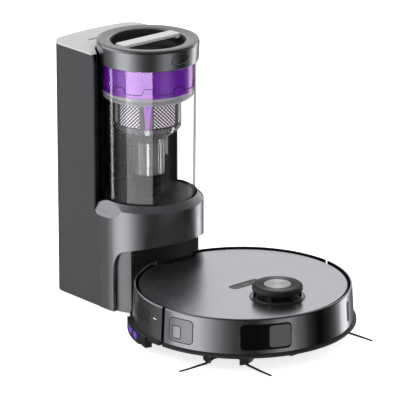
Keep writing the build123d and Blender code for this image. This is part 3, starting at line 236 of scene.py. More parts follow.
def strip_softbox(name, first, last, strength, receiver, reach):
    """A curved studio strip light whose mirror image shows in one clear piece only."""
    points, faces = [], []
    for step in range(STRIP_STEPS + 1):
        angle = radians(first + (last - first) * step / STRIP_STEPS)
        for level in STRIP_LEVELS:
            points.append((CUP.x + reach * sin(angle), CUP.y - reach * cos(angle), level))
        if step:
            corner = 2 * step
            faces.append((corner - 2, corner, corner + 1, corner - 1))
    mesh = bpy.data.meshes.new(name)
    mesh.from_pydata(points, [], faces)
    card = add_object(name, mesh)
    glow = bpy.data.materials.new(name)
    glow.use_nodes = True
    tree = glow.node_tree
    tree.nodes.clear()
    lamp = tree.nodes.new("ShaderNodeEmission")
    lamp.inputs["Strength"].default_value = strength
    # the strip is see-through, so that it hides no backdrop from the other surfaces
    clear_sheet = tree.nodes.new("ShaderNodeBsdfTransparent")
    both = tree.nodes.new("ShaderNodeAddShader")
    tree.links.new(lamp.outputs[0], both.inputs[0])
    tree.links.new(clear_sheet.outputs[0], both.inputs[1])
    out = tree.nodes.new("ShaderNodeOutputMaterial")
    tree.links.new(both.outputs[0], out.inputs["Surface"])
    glow.cycles.emission_sampling = "NONE"
    mesh.materials.append(glow)
    for ray in ("camera", "diffuse", "transmission", "volume_scatter", "shadow"):
        setattr(card, "visible_" + ray, False)
    only = bpy.data.collections.new(name + "_receivers")
    only.objects.link(NODES[receiver])
    card.light_linking.receiver_collection = only


build_camera()
build_world()
build_floor()
area_light("key", -100, 50, 22)
area_light("fill", 70, 60, 12)

scene = bpy.context.scene
scene.view_settings.view_transform = "Standard"
scene.view_settings.look = "None"


# ---- materials --------------------------------------------------------------------------------


class Surface:
    """A material under construction, with short ways to add its nodes."""

    def __init__(self, name):
        self.material = bpy.data.materials.new(name)
        self.material.use_nodes = True
        self.tree = self.material.node_tree
        self.shader = self.tree.nodes["Principled BSDF"]
        place = self.node("ShaderNodeTexCoord")
        self.place = place.outputs["Object"]

    def node(self, kind, **settings):
        made = self.tree.nodes.new(kind)
        for key, value in settings.items():
            setattr(made, key, value)
        return made

    def link(self, source, target):
        self.tree.links.new(source, target)

    def put(self, **values):
        """Sets shader sockets; underscores stand for spaces."""
        for key, value in values.items():
            self.shader.inputs[key.replace("_", " ")].default_value = value

    def feed(self, name, source):
        """Links a source to one of the shader's sockets."""
        self.link(source, self.shader.inputs[name])

    def noise(self, scale, detail=3.0, rough=0.55):
        """Fine variation; scale is features per metre."""
        made = self.node("ShaderNodeTexNoise")
        made.inputs["Scale"].default_value = scale
        made.inputs["Detail"].default_value = detail
        made.inputs["Roughness"].default_value = rough
        self.link(self.place, made.inputs["Vector"])
        return made.outputs["Fac"]

    def spread(self, source, low, high, start=0.3, end=0.7):
        """Maps a source that runs from start to end onto low to high."""
        made = self.node("ShaderNodeMapRange")
        made.inputs["From Min"].default_value = start
        made.inputs["From Max"].default_value = end
        made.inputs["To Min"].default_value = low
        made.inputs["To Max"].default_value = high
        self.link(source, made.inputs["Value"])
        return made.outputs[0]

    def blend(self, factor, first, second):
        made = self.node("ShaderNodeMix", data_type="RGBA")
        for value, name in ((first, "A"), (second, "B")):
            if isinstance(value, tuple):
                made.inputs[name].default_value = (*value, 1)
            else:
                self.link(value, made.inputs[name])
        self.link(factor, made.inputs["Factor"])
        return made.outputs["Result"]

    def math(self, kind, *values):
        """A math node's result; each value is a number or a socket."""
        made = self.node("ShaderNodeMath", operation=kind)
        for spot, value in enumerate(values):
            if isinstance(value, (int, float)):
                made.inputs[spot].default_value = value
            else:
                self.link(value, made.inputs[spot])
        return made.outputs[0]

    def plus(self, first, second):
        return self.math("ADD", first, second)

    def minus(self, first, second):
        return self.math("SUBTRACT", first, second)

    def times(self, first, second):
        return self.math("MULTIPLY", first, second)

    def above(self, value, limit):
        return self.math("GREATER_THAN", value, limit)

    def below(self, value, limit):
        return self.math("LESS_THAN", value, limit)

    def offset(self, axis_at):
        """The place on the object, split in X, Y and Z, measured from a point."""
        shift = self.node("ShaderNodeVectorMath", operation="SUBTRACT")
        shift.inputs[1].default_value = axis_at
        self.link(self.place, shift.inputs[0])
        split = self.node("ShaderNodeSeparateXYZ")
        self.link(shift.outputs[0], split.inputs[0])
        return split.outputs["X"], split.outputs["Y"], split.outputs["Z"]

    def polar(self, axis_at):
        """Heading in degrees, height above the floor and radius, about an upright axis."""
        x, y, height = self.offset((axis_at.x, axis_at.y, 0))
        heading = self.times(self.math("ARCTAN2", x, self.times(y, -1)), 180 / pi)
        radius = self.math("SQRT", self.plus(self.times(x, x), self.times(y, y)))
        return heading, height, radius

    def past_edge(self, value, low, high, corner):
        """How far a value lies past the straight part between two edges with round corners."""
        off = self.math("ABSOLUTE", self.minus(value, (low + high) / 2))
        return self.minus(off, (high - low) / 2 - corner)

    def patch(self, wide, high, left, right, bottom, top, corner):
        """Signed distance to a round-cornered rectangle in the plane of wide and high."""
        first = self.past_edge(wide, left, right, corner)
        second = self.past_edge(high, bottom, top, corner)
        outer_first, outer_second = self.math("MAXIMUM", first, 0), self.math("MAXIMUM", second, 0)
        squares = self.plus(self.times(outer_first, outer_first), self.times(outer_second, outer_second))
        inner = self.math("MINIMUM", self.math("MAXIMUM", first, second), 0)
        return self.minus(self.plus(self.math("SQRT", squares), inner), corner)

    def inside(self, distance):
        return self.below(distance, 0.0)

    def band(self, distance, half):
        return self.below(self.math("ABSOLUTE", distance), half)

    def bump(self, height, strength, distance, edge=0.0):
        made = self.node("ShaderNodeBump")
        made.inputs["Strength"].default_value = strength
        made.inputs["Distance"].default_value = distance
        self.link(height, made.inputs["Height"])
        if edge:
            self.link(self.round_edge(edge), made.inputs["Normal"])
        self.link(made.outputs[0], self.shader.inputs["Normal"])

    def round_edge(self, radius):
        made = self.node("ShaderNodeBevel", samples=4)
        made.inputs["Radius"].default_value = radius
        return made.outputs[0]


def shade(colour, factor):
    return tuple(min(1.0, part * factor) for part in colour)


GUNMETAL = (0.503, 0.497, 0.528)
SOFT_EDGE = 0.6 * MM  # radius that sharp edges are shaded with
PLASTIC_IOR = 1.5


def moulded(name, colour, rough, metallic=0.0, grain=900, depth=0.04, mottle=0.08, coat=0.0,
            specular=0.5):
    """Moulded or sprayed surface: faint mottling, uneven gloss, fine grain and softened edges."""
    surface = Surface(name)
    surface.put(Metallic=metallic, Coat_Weight=coat, Coat_Roughness=0.06, Specular_IOR_Level=specular)
    cloud = surface.noise(14, 4)
    surface.feed("Base Color", surface.blend(cloud, shade(colour, 1 - mottle), shade(colour, 1 + mottle)))
    smear = surface.noise(38, 5, 0.6)
    surface.feed("Roughness", surface.spread(smear, rough * 0.88, rough * 1.12))
    surface.bump(surface.noise(grain, 2), depth, 0.2 * MM, SOFT_EDGE)
    return surface.material


def spun(name, colour, rough, axis_at, anisotropic):
    """Metal brushed in circles round an upright axis."""
    surface = Surface(name)
    surface.put(Metallic=1.0, Anisotropic=anisotropic)
    x, y, height = surface.offset(axis_at)
    flat = surface.node("ShaderNodeCombineXYZ")
    surface.link(x, flat.inputs["X"])
    surface.link(y, flat.inputs["Y"])
    length = surface.node("ShaderNodeVectorMath", operation="LENGTH")
    surface.link(flat.outputs[0], length.inputs[0])
    rings = surface.node("ShaderNodeCombineXYZ")
    surface.link(length.outputs["Value"], rings.inputs["X"])
    surface.link(height, rings.inputs["Z"])
    lines = surface.node("ShaderNodeTexNoise")
    lines.inputs["Scale"].default_value = 1700
    lines.inputs["Detail"].default_value = 2
    surface.link(rings.outputs[0], lines.inputs["Vector"])
    groove = lines.outputs["Fac"]
    surface.feed("Base Color", surface.blend(groove, shade(colour, 0.86), shade(colour, 1.12)))
    surface.feed("Roughness", surface.spread(groove, rough * 0.85, rough * 1.15))
    surface.bump(groove, 0.05, 0.1 * MM, 0.8 * MM)
    return surface.material


def lid_metal(name):
    """The lid ring: sprayed metal sides, and a darker top turned in fine circles."""
    surface = Surface(name)
    surface.put(Metallic=1.0)
    height, radius = surface.polar(CUP)[1:]
    top_zone = 1.6 * MM
    upper = surface.above(height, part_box("lid_ring")[1].z - top_zone)
    steps = surface.node("ShaderNodeTexNoise", noise_dimensions="1D")
    steps.inputs["Scale"].default_value = 1400
    steps.inputs["Detail"].default_value = 2
    surface.link(radius, steps.inputs["W"])
    turned = surface.blend(steps.outputs["Fac"], (0.13, 0.13, 0.137), (0.42, 0.415, 0.44))
    sprayed = surface.blend(surface.noise(14, 4), shade(GUNMETAL, 0.97), shade(GUNMETAL, 1.03))
    surface.feed("Base Color", surface.blend(upper, sprayed, turned))
    surface.feed("Roughness", surface.spread(surface.noise(38, 5, 0.6), 0.215, 0.27))
    surface.bump(surface.noise(2600, 2), 0.03, 0.2 * MM, SOFT_EDGE)
    return surface.material


def base_rim(name):
    """The turret's base: matt black, with a metal landing just inside the gap in the deck."""
    surface = Surface(name)
    radius = surface.polar(TURRET)[2]
    landing_inner, landing_outer = 38.6 * MM, 41.2 * MM
    landing = surface.times(surface.above(radius, landing_inner), surface.below(radius, landing_outer))
    dark = surface.blend(surface.noise(700, 3), (0.010, 0.010, 0.011), (0.014, 0.014, 0.015))
    surface.feed("Base Color", surface.blend(landing, dark, (0.62, 0.62, 0.63)))
    surface.feed("Metallic", landing)
    surface.feed("Roughness", surface.spread(surface.noise(24, 4), 0.26, 0.34))
    surface.bump(surface.noise(1800, 2), 0.04, 0.2 * MM)
    return surface.material


def clear(name, tint, solid, cover, rough, painted_rim_shade, gloss=1.0, ridges=None, tinge=(1, 1, 1), even=None):
    """Thin clear or tinted plastic: see-through face on, with its own colour and glossy skin; where it is
    seen edge on, more of its solid colour is painted in, a painted dark rim that stands in for shade at its
    edges.

    The skin mirrors by its angle, times gloss, or else an even share at every angle.
    """
    surface = Surface(name)
    surface.put(Roughness=0.35, Specular_IOR_Level=0.3)
    surface.feed("Base Color", surface.blend(surface.noise(9, 3), shade(solid, 0.9), shade(solid, 1.1)))
    see = surface.node("ShaderNodeBsdfTransparent")
    see.inputs["Color"].default_value = (*tint, 1)
    rim = surface.node("ShaderNodeLayerWeight")
    rim.inputs["Blend"].default_value = 0.5
    # more solid colour where the piece is seen edge on: a painted dark rim, painted shade
    amount = surface.spread(rim.outputs["Facing"], cover, min(1.0, cover + painted_rim_shade), 0.70, 0.94)
    # ridges: bands of more and less solid colour up the height, painted light and shade of the moulded
    # ridges
    if ridges:
        height = surface.polar(CUP)[1]
        wave = surface.math("SINE", surface.times(height, tau / ridges))
        amount = surface.plus(amount, surface.times(wave, 0.18))
    mix = surface.node("ShaderNodeMixShader")
    surface.link(amount, mix.inputs[0])
    surface.link(see.outputs[0], mix.inputs[1])
    surface.link(surface.shader.outputs[0], mix.inputs[2])
    skin = surface.node("ShaderNodeBsdfGlossy")
    skin.inputs["Color"].default_value = (*tinge, 1)
    surface.link(surface.spread(surface.noise(30, 4), rough * 0.7, rough * 1.4), skin.inputs["Roughness"])
    over = surface.node("ShaderNodeMixShader")
    if even:
        over.inputs[0].default_value = even
    else:
        grazing = surface.node("ShaderNodeFresnel")
        grazing.inputs["IOR"].default_value = PLASTIC_IOR
        surface.link(surface.times(grazing.outputs[0], gloss), over.inputs[0])
    surface.link(mix.outputs[0], over.inputs[1])
    surface.link(skin.outputs[0], over.inputs[2])
    out = surface.tree.nodes["Material Output"]
    surface.link(over.outputs[0], out.inputs["Surface"])
    return surface.material


# The cyclone's screen: lengths round it are measured at this radius
SCREEN_RADIUS = 53 * MM
SCREEN_ARC = SCREEN_RADIUS * pi / 180  # length of one degree
SLOT_PITCH = 5.8 * MM
HEM = 2.5 * MM
RIBS, RIB_START = 6, 42
WINDOW_HEADING, WINDOW_HALF = -43, 11.5 * MM
CONE_HEADING, CONE_HALF_BOTTOM, CONE_HALF_TOP = -41.5, 2.8 * MM, 6.8 * MM


def slot_pattern(surface, along, height):
    """Slanted slots, which lean one way left of the window and the other way right of it."""
    right = surface.above(along, WINDOW_HEADING * SCREEN_ARC)
    lean = surface.times(height, surface.minus(surface.times(right, 2.0), 1.0))
    first, second = surface.plus(along, lean), surface.minus(along, lean)
    wave_first = surface.math("SINE", surface.times(first, tau / SLOT_PITCH))
    wave_second = surface.math("SINE", surface.times(second, tau / (SLOT_PITCH * 1.35)))
    return surface.below(surface.plus(wave_first, surface.times(wave_second, 0.5)), -0.4)


def perforated(name):
    """The cyclone's dark metal screen: slots painted near white between plain ribs, which is painted light
    shining through them, and a window on a cone.
    """
    surface = Surface(name)
    surface.put(Metallic=0.4, Roughness=0.35)
    heading, height = surface.polar(CUP)[:2]
    along = surface.times(heading, SCREEN_ARC)
    slots = slot_pattern(surface, along, height)
    # plain ribs hold the screen, with a bare hem at the top and bottom
    turn = surface.math("DIVIDE", surface.plus(heading, 180 + RIB_START), 360 / RIBS)
    rib = surface.math("ABSOLUTE", surface.minus(surface.math("FRACT", turn), 0.5))
    panel = surface.below(rib, 0.42)
    low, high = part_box("mesh_screen")
    clear_of_hems = surface.times(surface.above(height, low.z + HEM), surface.below(height, high.z - HEM))
    painted_lit_slots = surface.times(surface.times(slots, panel), clear_of_hems)
    tone = surface.blend(surface.noise(60, 3), (0.020, 0.018, 0.024), (0.035, 0.032, 0.040))
    # the window shows a purple cone that widens towards the top
    cone_arc = surface.math("ABSOLUTE", surface.minus(along, CONE_HEADING * SCREEN_ARC))
    taper = surface.spread(height, CONE_HALF_BOTTOM, CONE_HALF_TOP, low.z, high.z)
    cone = surface.below(cone_arc, taper)
    window_arc = surface.math("ABSOLUTE", surface.minus(along, WINDOW_HEADING * SCREEN_ARC))
    window = surface.below(window_arc, WINDOW_HALF)
    # the slots get a near-white colour: painted light shining through them
    plain = surface.blend(window, surface.blend(painted_lit_slots, tone, (0.86, 0.80, 0.92)), (0.11, 0.10, 0.12))
    surface.feed("Base Color", surface.blend(cone, plain, (0.62, 0.22, 0.95)))
    surface.feed("Metallic", surface.times(surface.minus(1.0, painted_lit_slots), 0.5))
    surface.bump(painted_lit_slots, 0.3, 0.3 * MM)
    return surface.material


# The panes on the robot's wall: first and last heading, bottom and top edge in mm, corner in mm
WALL_RADIUS = 172 * MM
ACCESS_PANEL = (-82.6, -67.8, 41, 80, 7)
RAISED_KEY = (-80.4, -75.2, 47, 67, 2)
SENSOR = (-27.9, -16.4, 43, 78, 5)
FLANK_HEADING = -60  # panes further round than this are the metal access panel


def window_panes(name):
    """The bumper's panes: black glass in front, a metal access panel on the flank, a slim sensor slot."""
    surface = Surface(name)
    heading, height = surface.polar(ROBOT)[:2]
    degree = WALL_RADIUS * pi / 180
    arc = surface.times(heading, degree)

    def pane(first, last, bottom, top, corner):
        return surface.patch(arc, height, first * degree, last * degree, bottom * MM, top * MM, corner * MM)

    panel, raised, sensor = pane(*ACCESS_PANEL), pane(*RAISED_KEY), pane(*SENSOR)
    seams = surface.math("MAXIMUM", surface.band(panel, 1.2 * MM), surface.band(raised, 0.7 * MM))
    metal = surface.blend(surface.inside(panel), GUNMETAL, shade(GUNMETAL, 0.66))
    metal = surface.blend(surface.inside(raised), metal, shade(GUNMETAL, 0.95))
    metal = surface.blend(seams, metal, (0.012, 0.012, 0.013))
    glass = surface.blend(surface.inside(sensor), (0.002, 0.002, 0.0025), (0.06, 0.06, 0.062))
    glass = surface.blend(surface.band(sensor, 0.4 * MM), glass, (0.012, 0.012, 0.013))
    flank = surface.below(heading, FLANK_HEADING)
    surface.feed("Base Color", surface.blend(flank, glass, metal))
    surface.feed("Metallic", surface.times(flank, surface.minus(1.0, seams)))
    surface.feed("Roughness", surface.spread(surface.noise(26, 4), 0.13, 0.19))
    surface.put(Specular_IOR_Level=0.16)
    surface.bump(surface.minus(1.0, seams), 0.5, 0.4 * MM)
    return surface.material


def power_key(name):
    """The middle key: dark, with a generic power mark, which is an open ring and a bar."""
    surface = Surface(name)
    middle = centre("power_button")
    x, y = surface.offset((middle.x, middle.y, 0))[:2]
    ring_radius, line_half, gap_half = 3.3 * MM, 0.4 * MM, 1.3 * MM
    away = surface.math("SQRT", surface.plus(surface.times(x, x), surface.times(y, y)))
    ring = surface.band(surface.minus(away, ring_radius), line_half)
    gap = surface.times(surface.above(y, 0.0), surface.below(surface.math("ABSOLUTE", x), gap_half))
    ring = surface.times(ring, surface.minus(1.0, gap))
    bar = surface.inside(surface.patch(x, y, -0.35 * MM, 0.35 * MM, 1.2 * MM, 4.4 * MM, 0.2 * MM))
    mark = surface.math("MAXIMUM", ring, bar)
    surface.feed("Base Color", surface.blend(mark, (0.02, 0.02, 0.021), (0.16, 0.16, 0.165)))
    surface.feed("Roughness", surface.spread(surface.noise(40, 3), 0.2, 0.35))
    surface.bump(surface.noise(2000, 2), 0.03, 0.2 * MM, SOFT_EDGE)
    return surface.material


def deck_metal(name):
    """The deck's satin metallic paint, with its outer edge painted black: painted shade that shows the dark
    groove round it.
    """
    surface = Surface(name)
    radius = surface.polar(ROBOT)[2]
    paint_radius = 162.4 * MM
    # the outer edge is painted black, painted shade of the groove between deck and wall
    edge = surface.above(radius, paint_radius)
    paint = surface.blend(surface.noise(10, 3), (0.595, 0.587, 0.624), (0.625, 0.617, 0.654))
    surface.feed("Base Color", surface.blend(edge, paint, (0.004, 0.004, 0.004)))
    surface.feed("Metallic", surface.minus(1.0, edge))
    surface.feed("Roughness", surface.spread(surface.noise(24, 4), 0.245, 0.275))
    surface.bump(surface.noise(2400, 2), 0.008, 0.1 * MM)
    return surface.material


MOULDED = {
    "gunmetal": dict(colour=GUNMETAL, rough=0.24, metallic=1.0, grain=2600, depth=0.03, mottle=0.03),
    "column_metal": dict(colour=(0.27, 0.27, 0.28), rough=0.3, metallic=1.0, grain=2600, depth=0.03,
                         mottle=0.03),
    "panel_grey": dict(colour=(0.068, 0.066, 0.072), rough=0.5, metallic=0.3, grain=2200, depth=0.10),
    "top_grey": dict(colour=(0.54, 0.54, 0.55), rough=0.5, metallic=0.2, grain=2400, depth=0.10,
                     mottle=0.03),
    "satin_black": dict(colour=(0.012, 0.012, 0.014), rough=0.45, grain=1500, depth=0.08),
    "gloss_black": dict(colour=(0.006, 0.006, 0.007), rough=0.08, grain=300, depth=0.01, coat=0.4),
    "wall_metal": dict(colour=GUNMETAL, rough=0.15, metallic=1.0, grain=2600, depth=0.02, mottle=0.02),
    "light_trim": dict(colour=(0.55, 0.55, 0.56), rough=0.45, grain=1800, depth=0.06, mottle=0.03),
    "rubber": dict(colour=(0.015, 0.015, 0.015), rough=0.8, grain=1200, depth=0.2, mottle=0.2),
    "steel": dict(colour=(0.6, 0.6, 0.6), rough=0.25, metallic=1.0),
    "paper": dict(colour=(0.72, 0.70, 0.64), rough=0.9, grain=700, depth=0.3, mottle=0.1),
    "board": dict(colour=(0.01, 0.12, 0.04), rough=0.35, coat=0.3),
    "wrap_blue": dict(colour=(0.02, 0.04, 0.12), rough=0.4),
    "smoked": dict(colour=(0.03, 0.03, 0.032), rough=0.15, coat=0.4),
    "purple_rubber": dict(colour=(0.14, 0.02, 0.35), rough=0.5),
    "purple_gloss": dict(colour=(0.17, 0.03, 0.55), rough=0.15, coat=0.5),
    "purple_line": dict(colour=(0.045, 0.0, 0.11), rough=0.3),
    "cone_purple": dict(colour=(0.62, 0.24, 0.95), rough=0.25, coat=0.5, mottle=0.05),
    "cloth": dict(colour=(0.30, 0.30, 0.33), rough=0.95, grain=500, depth=0.8, mottle=0.3),
    "white_light": dict(colour=(0.9, 0.9, 0.9), rough=0.3, mottle=0.01),
    "bristle": dict(colour=(0.03, 0.03, 0.035), rough=0.6, mottle=0.2),
    "recess_black": dict(colour=(0.004, 0.004, 0.005), rough=0.4, specular=0.15),
    "key_grey": dict(colour=(0.075, 0.075, 0.08), rough=0.3, metallic=0.7, specular=0.3),
}
CLEAR = {
    "canister": dict(tint=(0.992, 0.992, 0.994), solid=(0.015, 0.015, 0.017), cover=0.0, rough=0.02,
                     painted_rim_shade=0.95, even=0.028),
    "purple_clear": dict(tint=(0.62, 0.30, 0.92), solid=(0.16, 0.004, 0.40), cover=0.60, rough=0.06,
                         painted_rim_shade=0.1, gloss=2.4, tinge=(1, 0.62, 1)),
    "clear_ring": dict(tint=(0.90, 0.88, 0.92), solid=(0.55, 0.54, 0.57), cover=0.35, rough=0.06,
                       painted_rim_shade=0.4, gloss=0.8, ridges=2.4 * MM),
    "smoke_clear": dict(tint=(0.90, 0.90, 0.91), solid=(0.20, 0.20, 0.21), cover=0.34, rough=0.05,
                        painted_rim_shade=0.7),
}
MATERIALS = {name: moulded(name, **look) for name, look in MOULDED.items()}
MATERIALS.update({name: clear(name, **look) for name, look in CLEAR.items()})
MATERIALS["lid_metal"] = lid_metal("lid_metal")
MATERIALS["base_rim"] = base_rim("base_rim")
MATERIALS["window_panes"] = window_panes("window_panes")
MATERIALS["power_key"] = power_key("power_key")
MATERIALS["deck_metal"] = deck_metal("deck_metal")
MATERIALS["mesh_metal"] = perforated("mesh_metal")
MATERIALS["badge"] = spun("badge", (0.62, 0.62, 0.64), 0.34, TURRET, 0.8)
MATERIALS["spun_cap"] = spun("spun_cap", (0.16, 0.16, 0.165), 0.40, TURRET, 0.97)

# Pieces that aren't listed here are satin black
NODE_MATERIALS = {
    "tower_shell": "panel_grey",
    "tower_top": "top_grey",
    "front_collar": "gunmetal",
    "inner_column": "column_metal",
    "lid_ring": "lid_metal",
    "cup_recess": "recess_black",
    "lidar_base": "base_rim",
    "release_button": "gunmetal",
    "lid_handle": "light_trim",
    "light_bar": "gloss_black",
    "station_feet": "rubber",
    "intake_seal": "rubber",
    "wheel_left": "rubber",
    "wheel_right": "rubber",
    "caster_wheel": "rubber",
    "side_brush_left": "rubber",
    "side_brush_right": "rubber",
    "station_screws": "steel",
    "charging_contacts": "steel",
    "canister": "canister",
    "cyclone_ring": "purple_clear",
    "cyclone_cones": "cone_purple",
    "ridge_ring": "clear_ring",
    "dust_tube": "smoke_clear",
    "mesh_screen": "mesh_metal",
    "cup_filter": "paper",
    "main_board": "board",
    "power_board": "board",
    "deck": "deck_metal",
    "bumper": "wall_metal",
    "rear_shell": "wall_metal",
    "bumper_windows": "window_panes",
    "lidar_cap": "spun_cap",
    "lidar_badge": "badge",
    "clean_button": "key_grey",
    "dock_button": "key_grey",
    "power_button": "power_key",
    "battery": "wrap_blue",
    "dust_box": "smoked",
    "blower": "smoked",
    "main_brush": "purple_rubber",
    "mop_latch_left": "purple_gloss",
    "mop_latch_right": "purple_gloss",
    "mop_pad": "cloth",
}


def dress_nodes():
    for name, node in NODES.items():
        chosen = MATERIALS[NODE_MATERIALS.get(name, "satin_black")]
        slots = node.data.materials
        if not slots:
            slots.append(chosen)
        for spot in range(len(slots)):
            slots[spot] = chosen


dress_nodes()
for strip in STRIPS:
    strip_softbox(*strip)


# ---- added pieces -------------------------------------------------------------------------------


def add_mesh(name, corners, faces, material, body, smooth=True):
    mesh = bpy.data.meshes.new(name)
    mesh.from_pydata([tuple(c) for c in corners], [], faces)
    mesh.update()
    made = add_object(name, mesh)
    mesh.materials.append(MATERIALS[material])
    for face in mesh.polygons:
        face.use_smooth = smooth
    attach(made, body)


def tube_parts(path, radius, sides, closed):
    """Corners and faces of a round rod along a path of points."""
    corners, faces = [], []
    count = len(path)
    for number, spot in enumerate(path):
        ahead = path[(number + 1) % count] if closed or number < count - 1 else spot
        behind = path[number - 1] if closed or number > 0 else spot
        along = (ahead - behind).normalized()
        side = along.cross(Vector((0, 0, 1)))
        side = side.normalized() if side.length > 1e-6 else Vector((1, 0, 0))
        over = side.cross(along)
        for turn in range(sides):
            angle = tau * turn / sides
            corners.append(spot + (side * cos(angle) + over * sin(angle)) * radius)
    spans = count if closed else count - 1
    for number in range(spans):
        here, there = number * sides, (number + 1) % count * sides
        for turn in range(sides):
            beside = (turn + 1) % sides
            faces.append((here + turn, here + beside, there + beside, there + turn))
    if not closed:
        faces.append(tuple(range(sides))[::-1])
        faces.append(tuple(range((count - 1) * sides, count * sides)))
    return corners, faces


def add_tubes(name, paths, radius, material, body, sides, closed=False):
    corners, faces = [], []
    for path in paths:
        more, rings = tube_parts(path, radius, sides, closed)
        start = len(corners)
        corners += more
        faces += [tuple(start + spot for spot in face) for face in rings]
    add_mesh(name, corners, faces, material, body)


def fine_ring(path):
    """A closed path round the cup with extra points, so that long spans follow the curve."""
    finer = []
    for number, spot in enumerate(path):
        ahead = path[(number + 1) % len(path)]
        for step in range(4):
            between = spot.lerp(ahead, step / 4)
            reach = (spot - CUP).xy.length
            flat = (between - CUP).xy.normalized() * reach
            finer.append(Vector((CUP.x + flat.x, CUP.y + flat.y, between.z)))
    return finer


TABS, TAB_START = 9, -38
TAB_FOOT, TAB_HEIGHT = 6 * MM, 10 * MM  # the line's height above the ring's bottom, and a tab's rise
# one tab and the run to the next: degrees from its middle, and how much of the rise is reached
TAB_OUTLINE = ((-9.5, 0), (-6.5, 1), (6.5, 1), (9.5, 0), (15.0, 0), (24.0, 0))


def ring_tabs():
    """The moulded edge line of the purple ring: a run of raised trapezoid tabs."""
    low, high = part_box("cyclone_ring")
    radius = (high.x - low.x) / 2 + 0.35 * MM
    path = []
    for number in range(TABS):
        middle = 360 / TABS * number + TAB_START
        for offset, rise in TAB_OUTLINE:
            level = Vector((0, 0, low.z + TAB_FOOT + rise * TAB_HEIGHT))
            path.append(CUP + outward(radians(middle + offset)) * radius + level)
    add_tubes("ring_tab_line", [fine_ring(path)], 0.6 * MM, "purple_line", "dust_cup", 6, closed=True)


LIGHT_HEADING, LIGHT_STEP, LIGHT_STEPS = 92.2, 0.65, 4
# a light's section on the leaning wall: height above the floor and radius, in mm
LIGHT_SECTION = ((65.9, 172.32), (65.9, 172.92), (66.9, 172.87), (66.9, 172.27))


def status_lights():
    """A slim white light on each rear flank of the robot."""
    for side, word in ((-1, "left"), (1, "right")):
        corners, faces = [], []
        for step in range(LIGHT_STEPS + 1):
            heading = radians(side * (LIGHT_HEADING + LIGHT_STEP * step))
            for lift, out in LIGHT_SECTION:
                corners.append(ROBOT + outward(heading) * (out * MM) + Vector((0, 0, lift * MM)))
            if step:
                start = 4 * step
                for spot in range(4):
                    beside = (spot + 1) % 4
                    faces.append((start - 4 + spot, start - 4 + beside, start + beside, start + spot))
        last = 4 * LIGHT_STEPS
        faces += [(0, 1, 2, 3), (last, last + 1, last + 2, last + 3)]
        add_mesh(f"status_light_{word}", corners, faces, "white_light", "robot", smooth=False)


def pad_rim(heart, top_level):
    """The mop pad's plan about its middle: the flat node's outer rim in order of heading."""
    rows = {}
    for vertex in NODES["mop_pad"].data.vertices:
        if vertex.co.z <= top_level - 0.2 * MM:
            continue
        flat = Vector((vertex.co.x, vertex.co.y)) - heart
        key = round(atan2(flat.y, flat.x) / tau * 240)
        if key not in rows or flat.length > rows[key].length:
            rows[key] = flat
    outline = [rows[key] for key in sorted(rows)]
    rim = []
    for number, flat in enumerate(outline):
        ahead = outline[(number + 1) % len(outline)]
        steps = max(1, int((ahead - flat).length / (3 * MM)))
        rim += [flat.lerp(ahead, step / steps) for step in range(steps)]
    return rim


def pad_ring(grid, heart, rim, share, level):
    """The rim drawn in towards the middle by a share, as new vertices at one level."""
    return [grid.verts.new((heart.x + f.x * share, heart.y + f.y * share, level)) for f in rim]


def join_rings(grid, first, second, flip=False):
    """Faces between two rings; a second ring of one vertex closes the surface at a point."""
    for number in range(len(first)):
        beside = (number + 1) % len(first)
        loop = (first[number], first[beside], second[beside % len(second)], second[number % len(second)])
        loop = loop[:3] if len(second) == 1 else loop
        grid.faces.new(loop[::-1] if flip else loop)


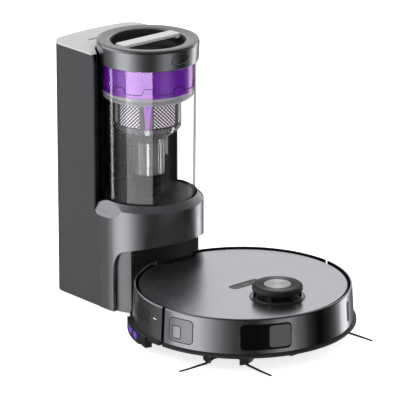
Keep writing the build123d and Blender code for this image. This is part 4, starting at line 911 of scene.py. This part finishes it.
def mop_cloth():
    """The microfibre pad: a soft slab with a hem round it, and a wavy upper face."""
    low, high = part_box("mop_pad")
    thick = high.z - low.z
    heart = Vector(((low.x + high.x) / 2, (low.y + high.y) / 2))
    rim = pad_rim(heart, high.z)
    hem_share = 0.994
    grid = bmesh.new()
    rings = [pad_ring(grid, heart, rim, share, low.z + thick * level)
             for level, share in ((0.0, hem_share), (0.25, 1), (0.75, 1), (1.0, hem_share))]
    for lower, upper in zip(rings, rings[1:]):
        join_rings(grid, lower, upper)
    for outer, underside in ((rings[0], True), (rings[-1], False)):
        level = outer[0].co.z
        for share in (0.97, 0.9, 0.8, 0.66, 0.5, 0.33, 0.16):
            wave = 0 if underside else 0.35 * MM * sin(share * 9)
            inner = pad_ring(grid, heart, rim, share, level + wave)
            join_rings(grid, outer, inner, underside)
            outer = inner
        join_rings(grid, outer, [grid.verts.new((heart.x, heart.y, level))], underside)
    bmesh.ops.recalc_face_normals(grid, faces=grid.faces)
    mesh = bpy.data.meshes.new("mop_cloth")
    grid.to_mesh(mesh)
    grid.free()
    cloth = add_object("mop_cloth", mesh)
    mesh.materials.append(MATERIALS["cloth"])
    for face in mesh.polygons:
        face.use_smooth = True
    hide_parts("mop_pad")
    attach(cloth, "robot")
    hem = [Vector((heart.x + f.x * 0.992, heart.y + f.y * 0.992, low.z + thick * 0.5)) for f in rim]
    add_tubes("mop_hem", [hem], thick * 0.42, "rubber", "robot", 8, closed=True)


BRISTLE_ROWS, BRISTLE_SPOTS, BRISTLE_SPLAY = 3, 46, (-0.8, 0.0, 0.8)
BRISTLE_ROOT, BRISTLE_TIP, BRISTLE_RADIUS = 10.6 * MM, 18.8 * MM, 0.28 * MM


def roller_bristles():
    """Tufts of fine bristles, in twisted rows between the main brush's rubber blades."""
    low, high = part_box("main_brush")
    axis = (low + high) / 2
    bare_ends = 16 * MM
    length = high.x - low.x - bare_ends
    strands = []
    for row in range(BRISTLE_ROWS):
        for spot in range(BRISTLE_SPOTS):
            share = spot / (BRISTLE_SPOTS - 1)
            angle = tau * (row / BRISTLE_ROWS + share * 0.35) + 0.52
            x = axis.x - length / 2 + length * share
            out = Vector((0, cos(angle), sin(angle)))
            for splay in BRISTLE_SPLAY:
                root = Vector((x + splay * MM, axis.y, axis.z)) + out * BRISTLE_ROOT
                tip = Vector((x + 1.6 * splay * MM, axis.y, axis.z)) + out * BRISTLE_TIP
                strands.append([root, tip])
    add_tubes("roller_bristles", strands, BRISTLE_RADIUS, "bristle", "roller_brush", 5)


ring_tabs()
status_lights()
mop_cloth()
roller_bristles()
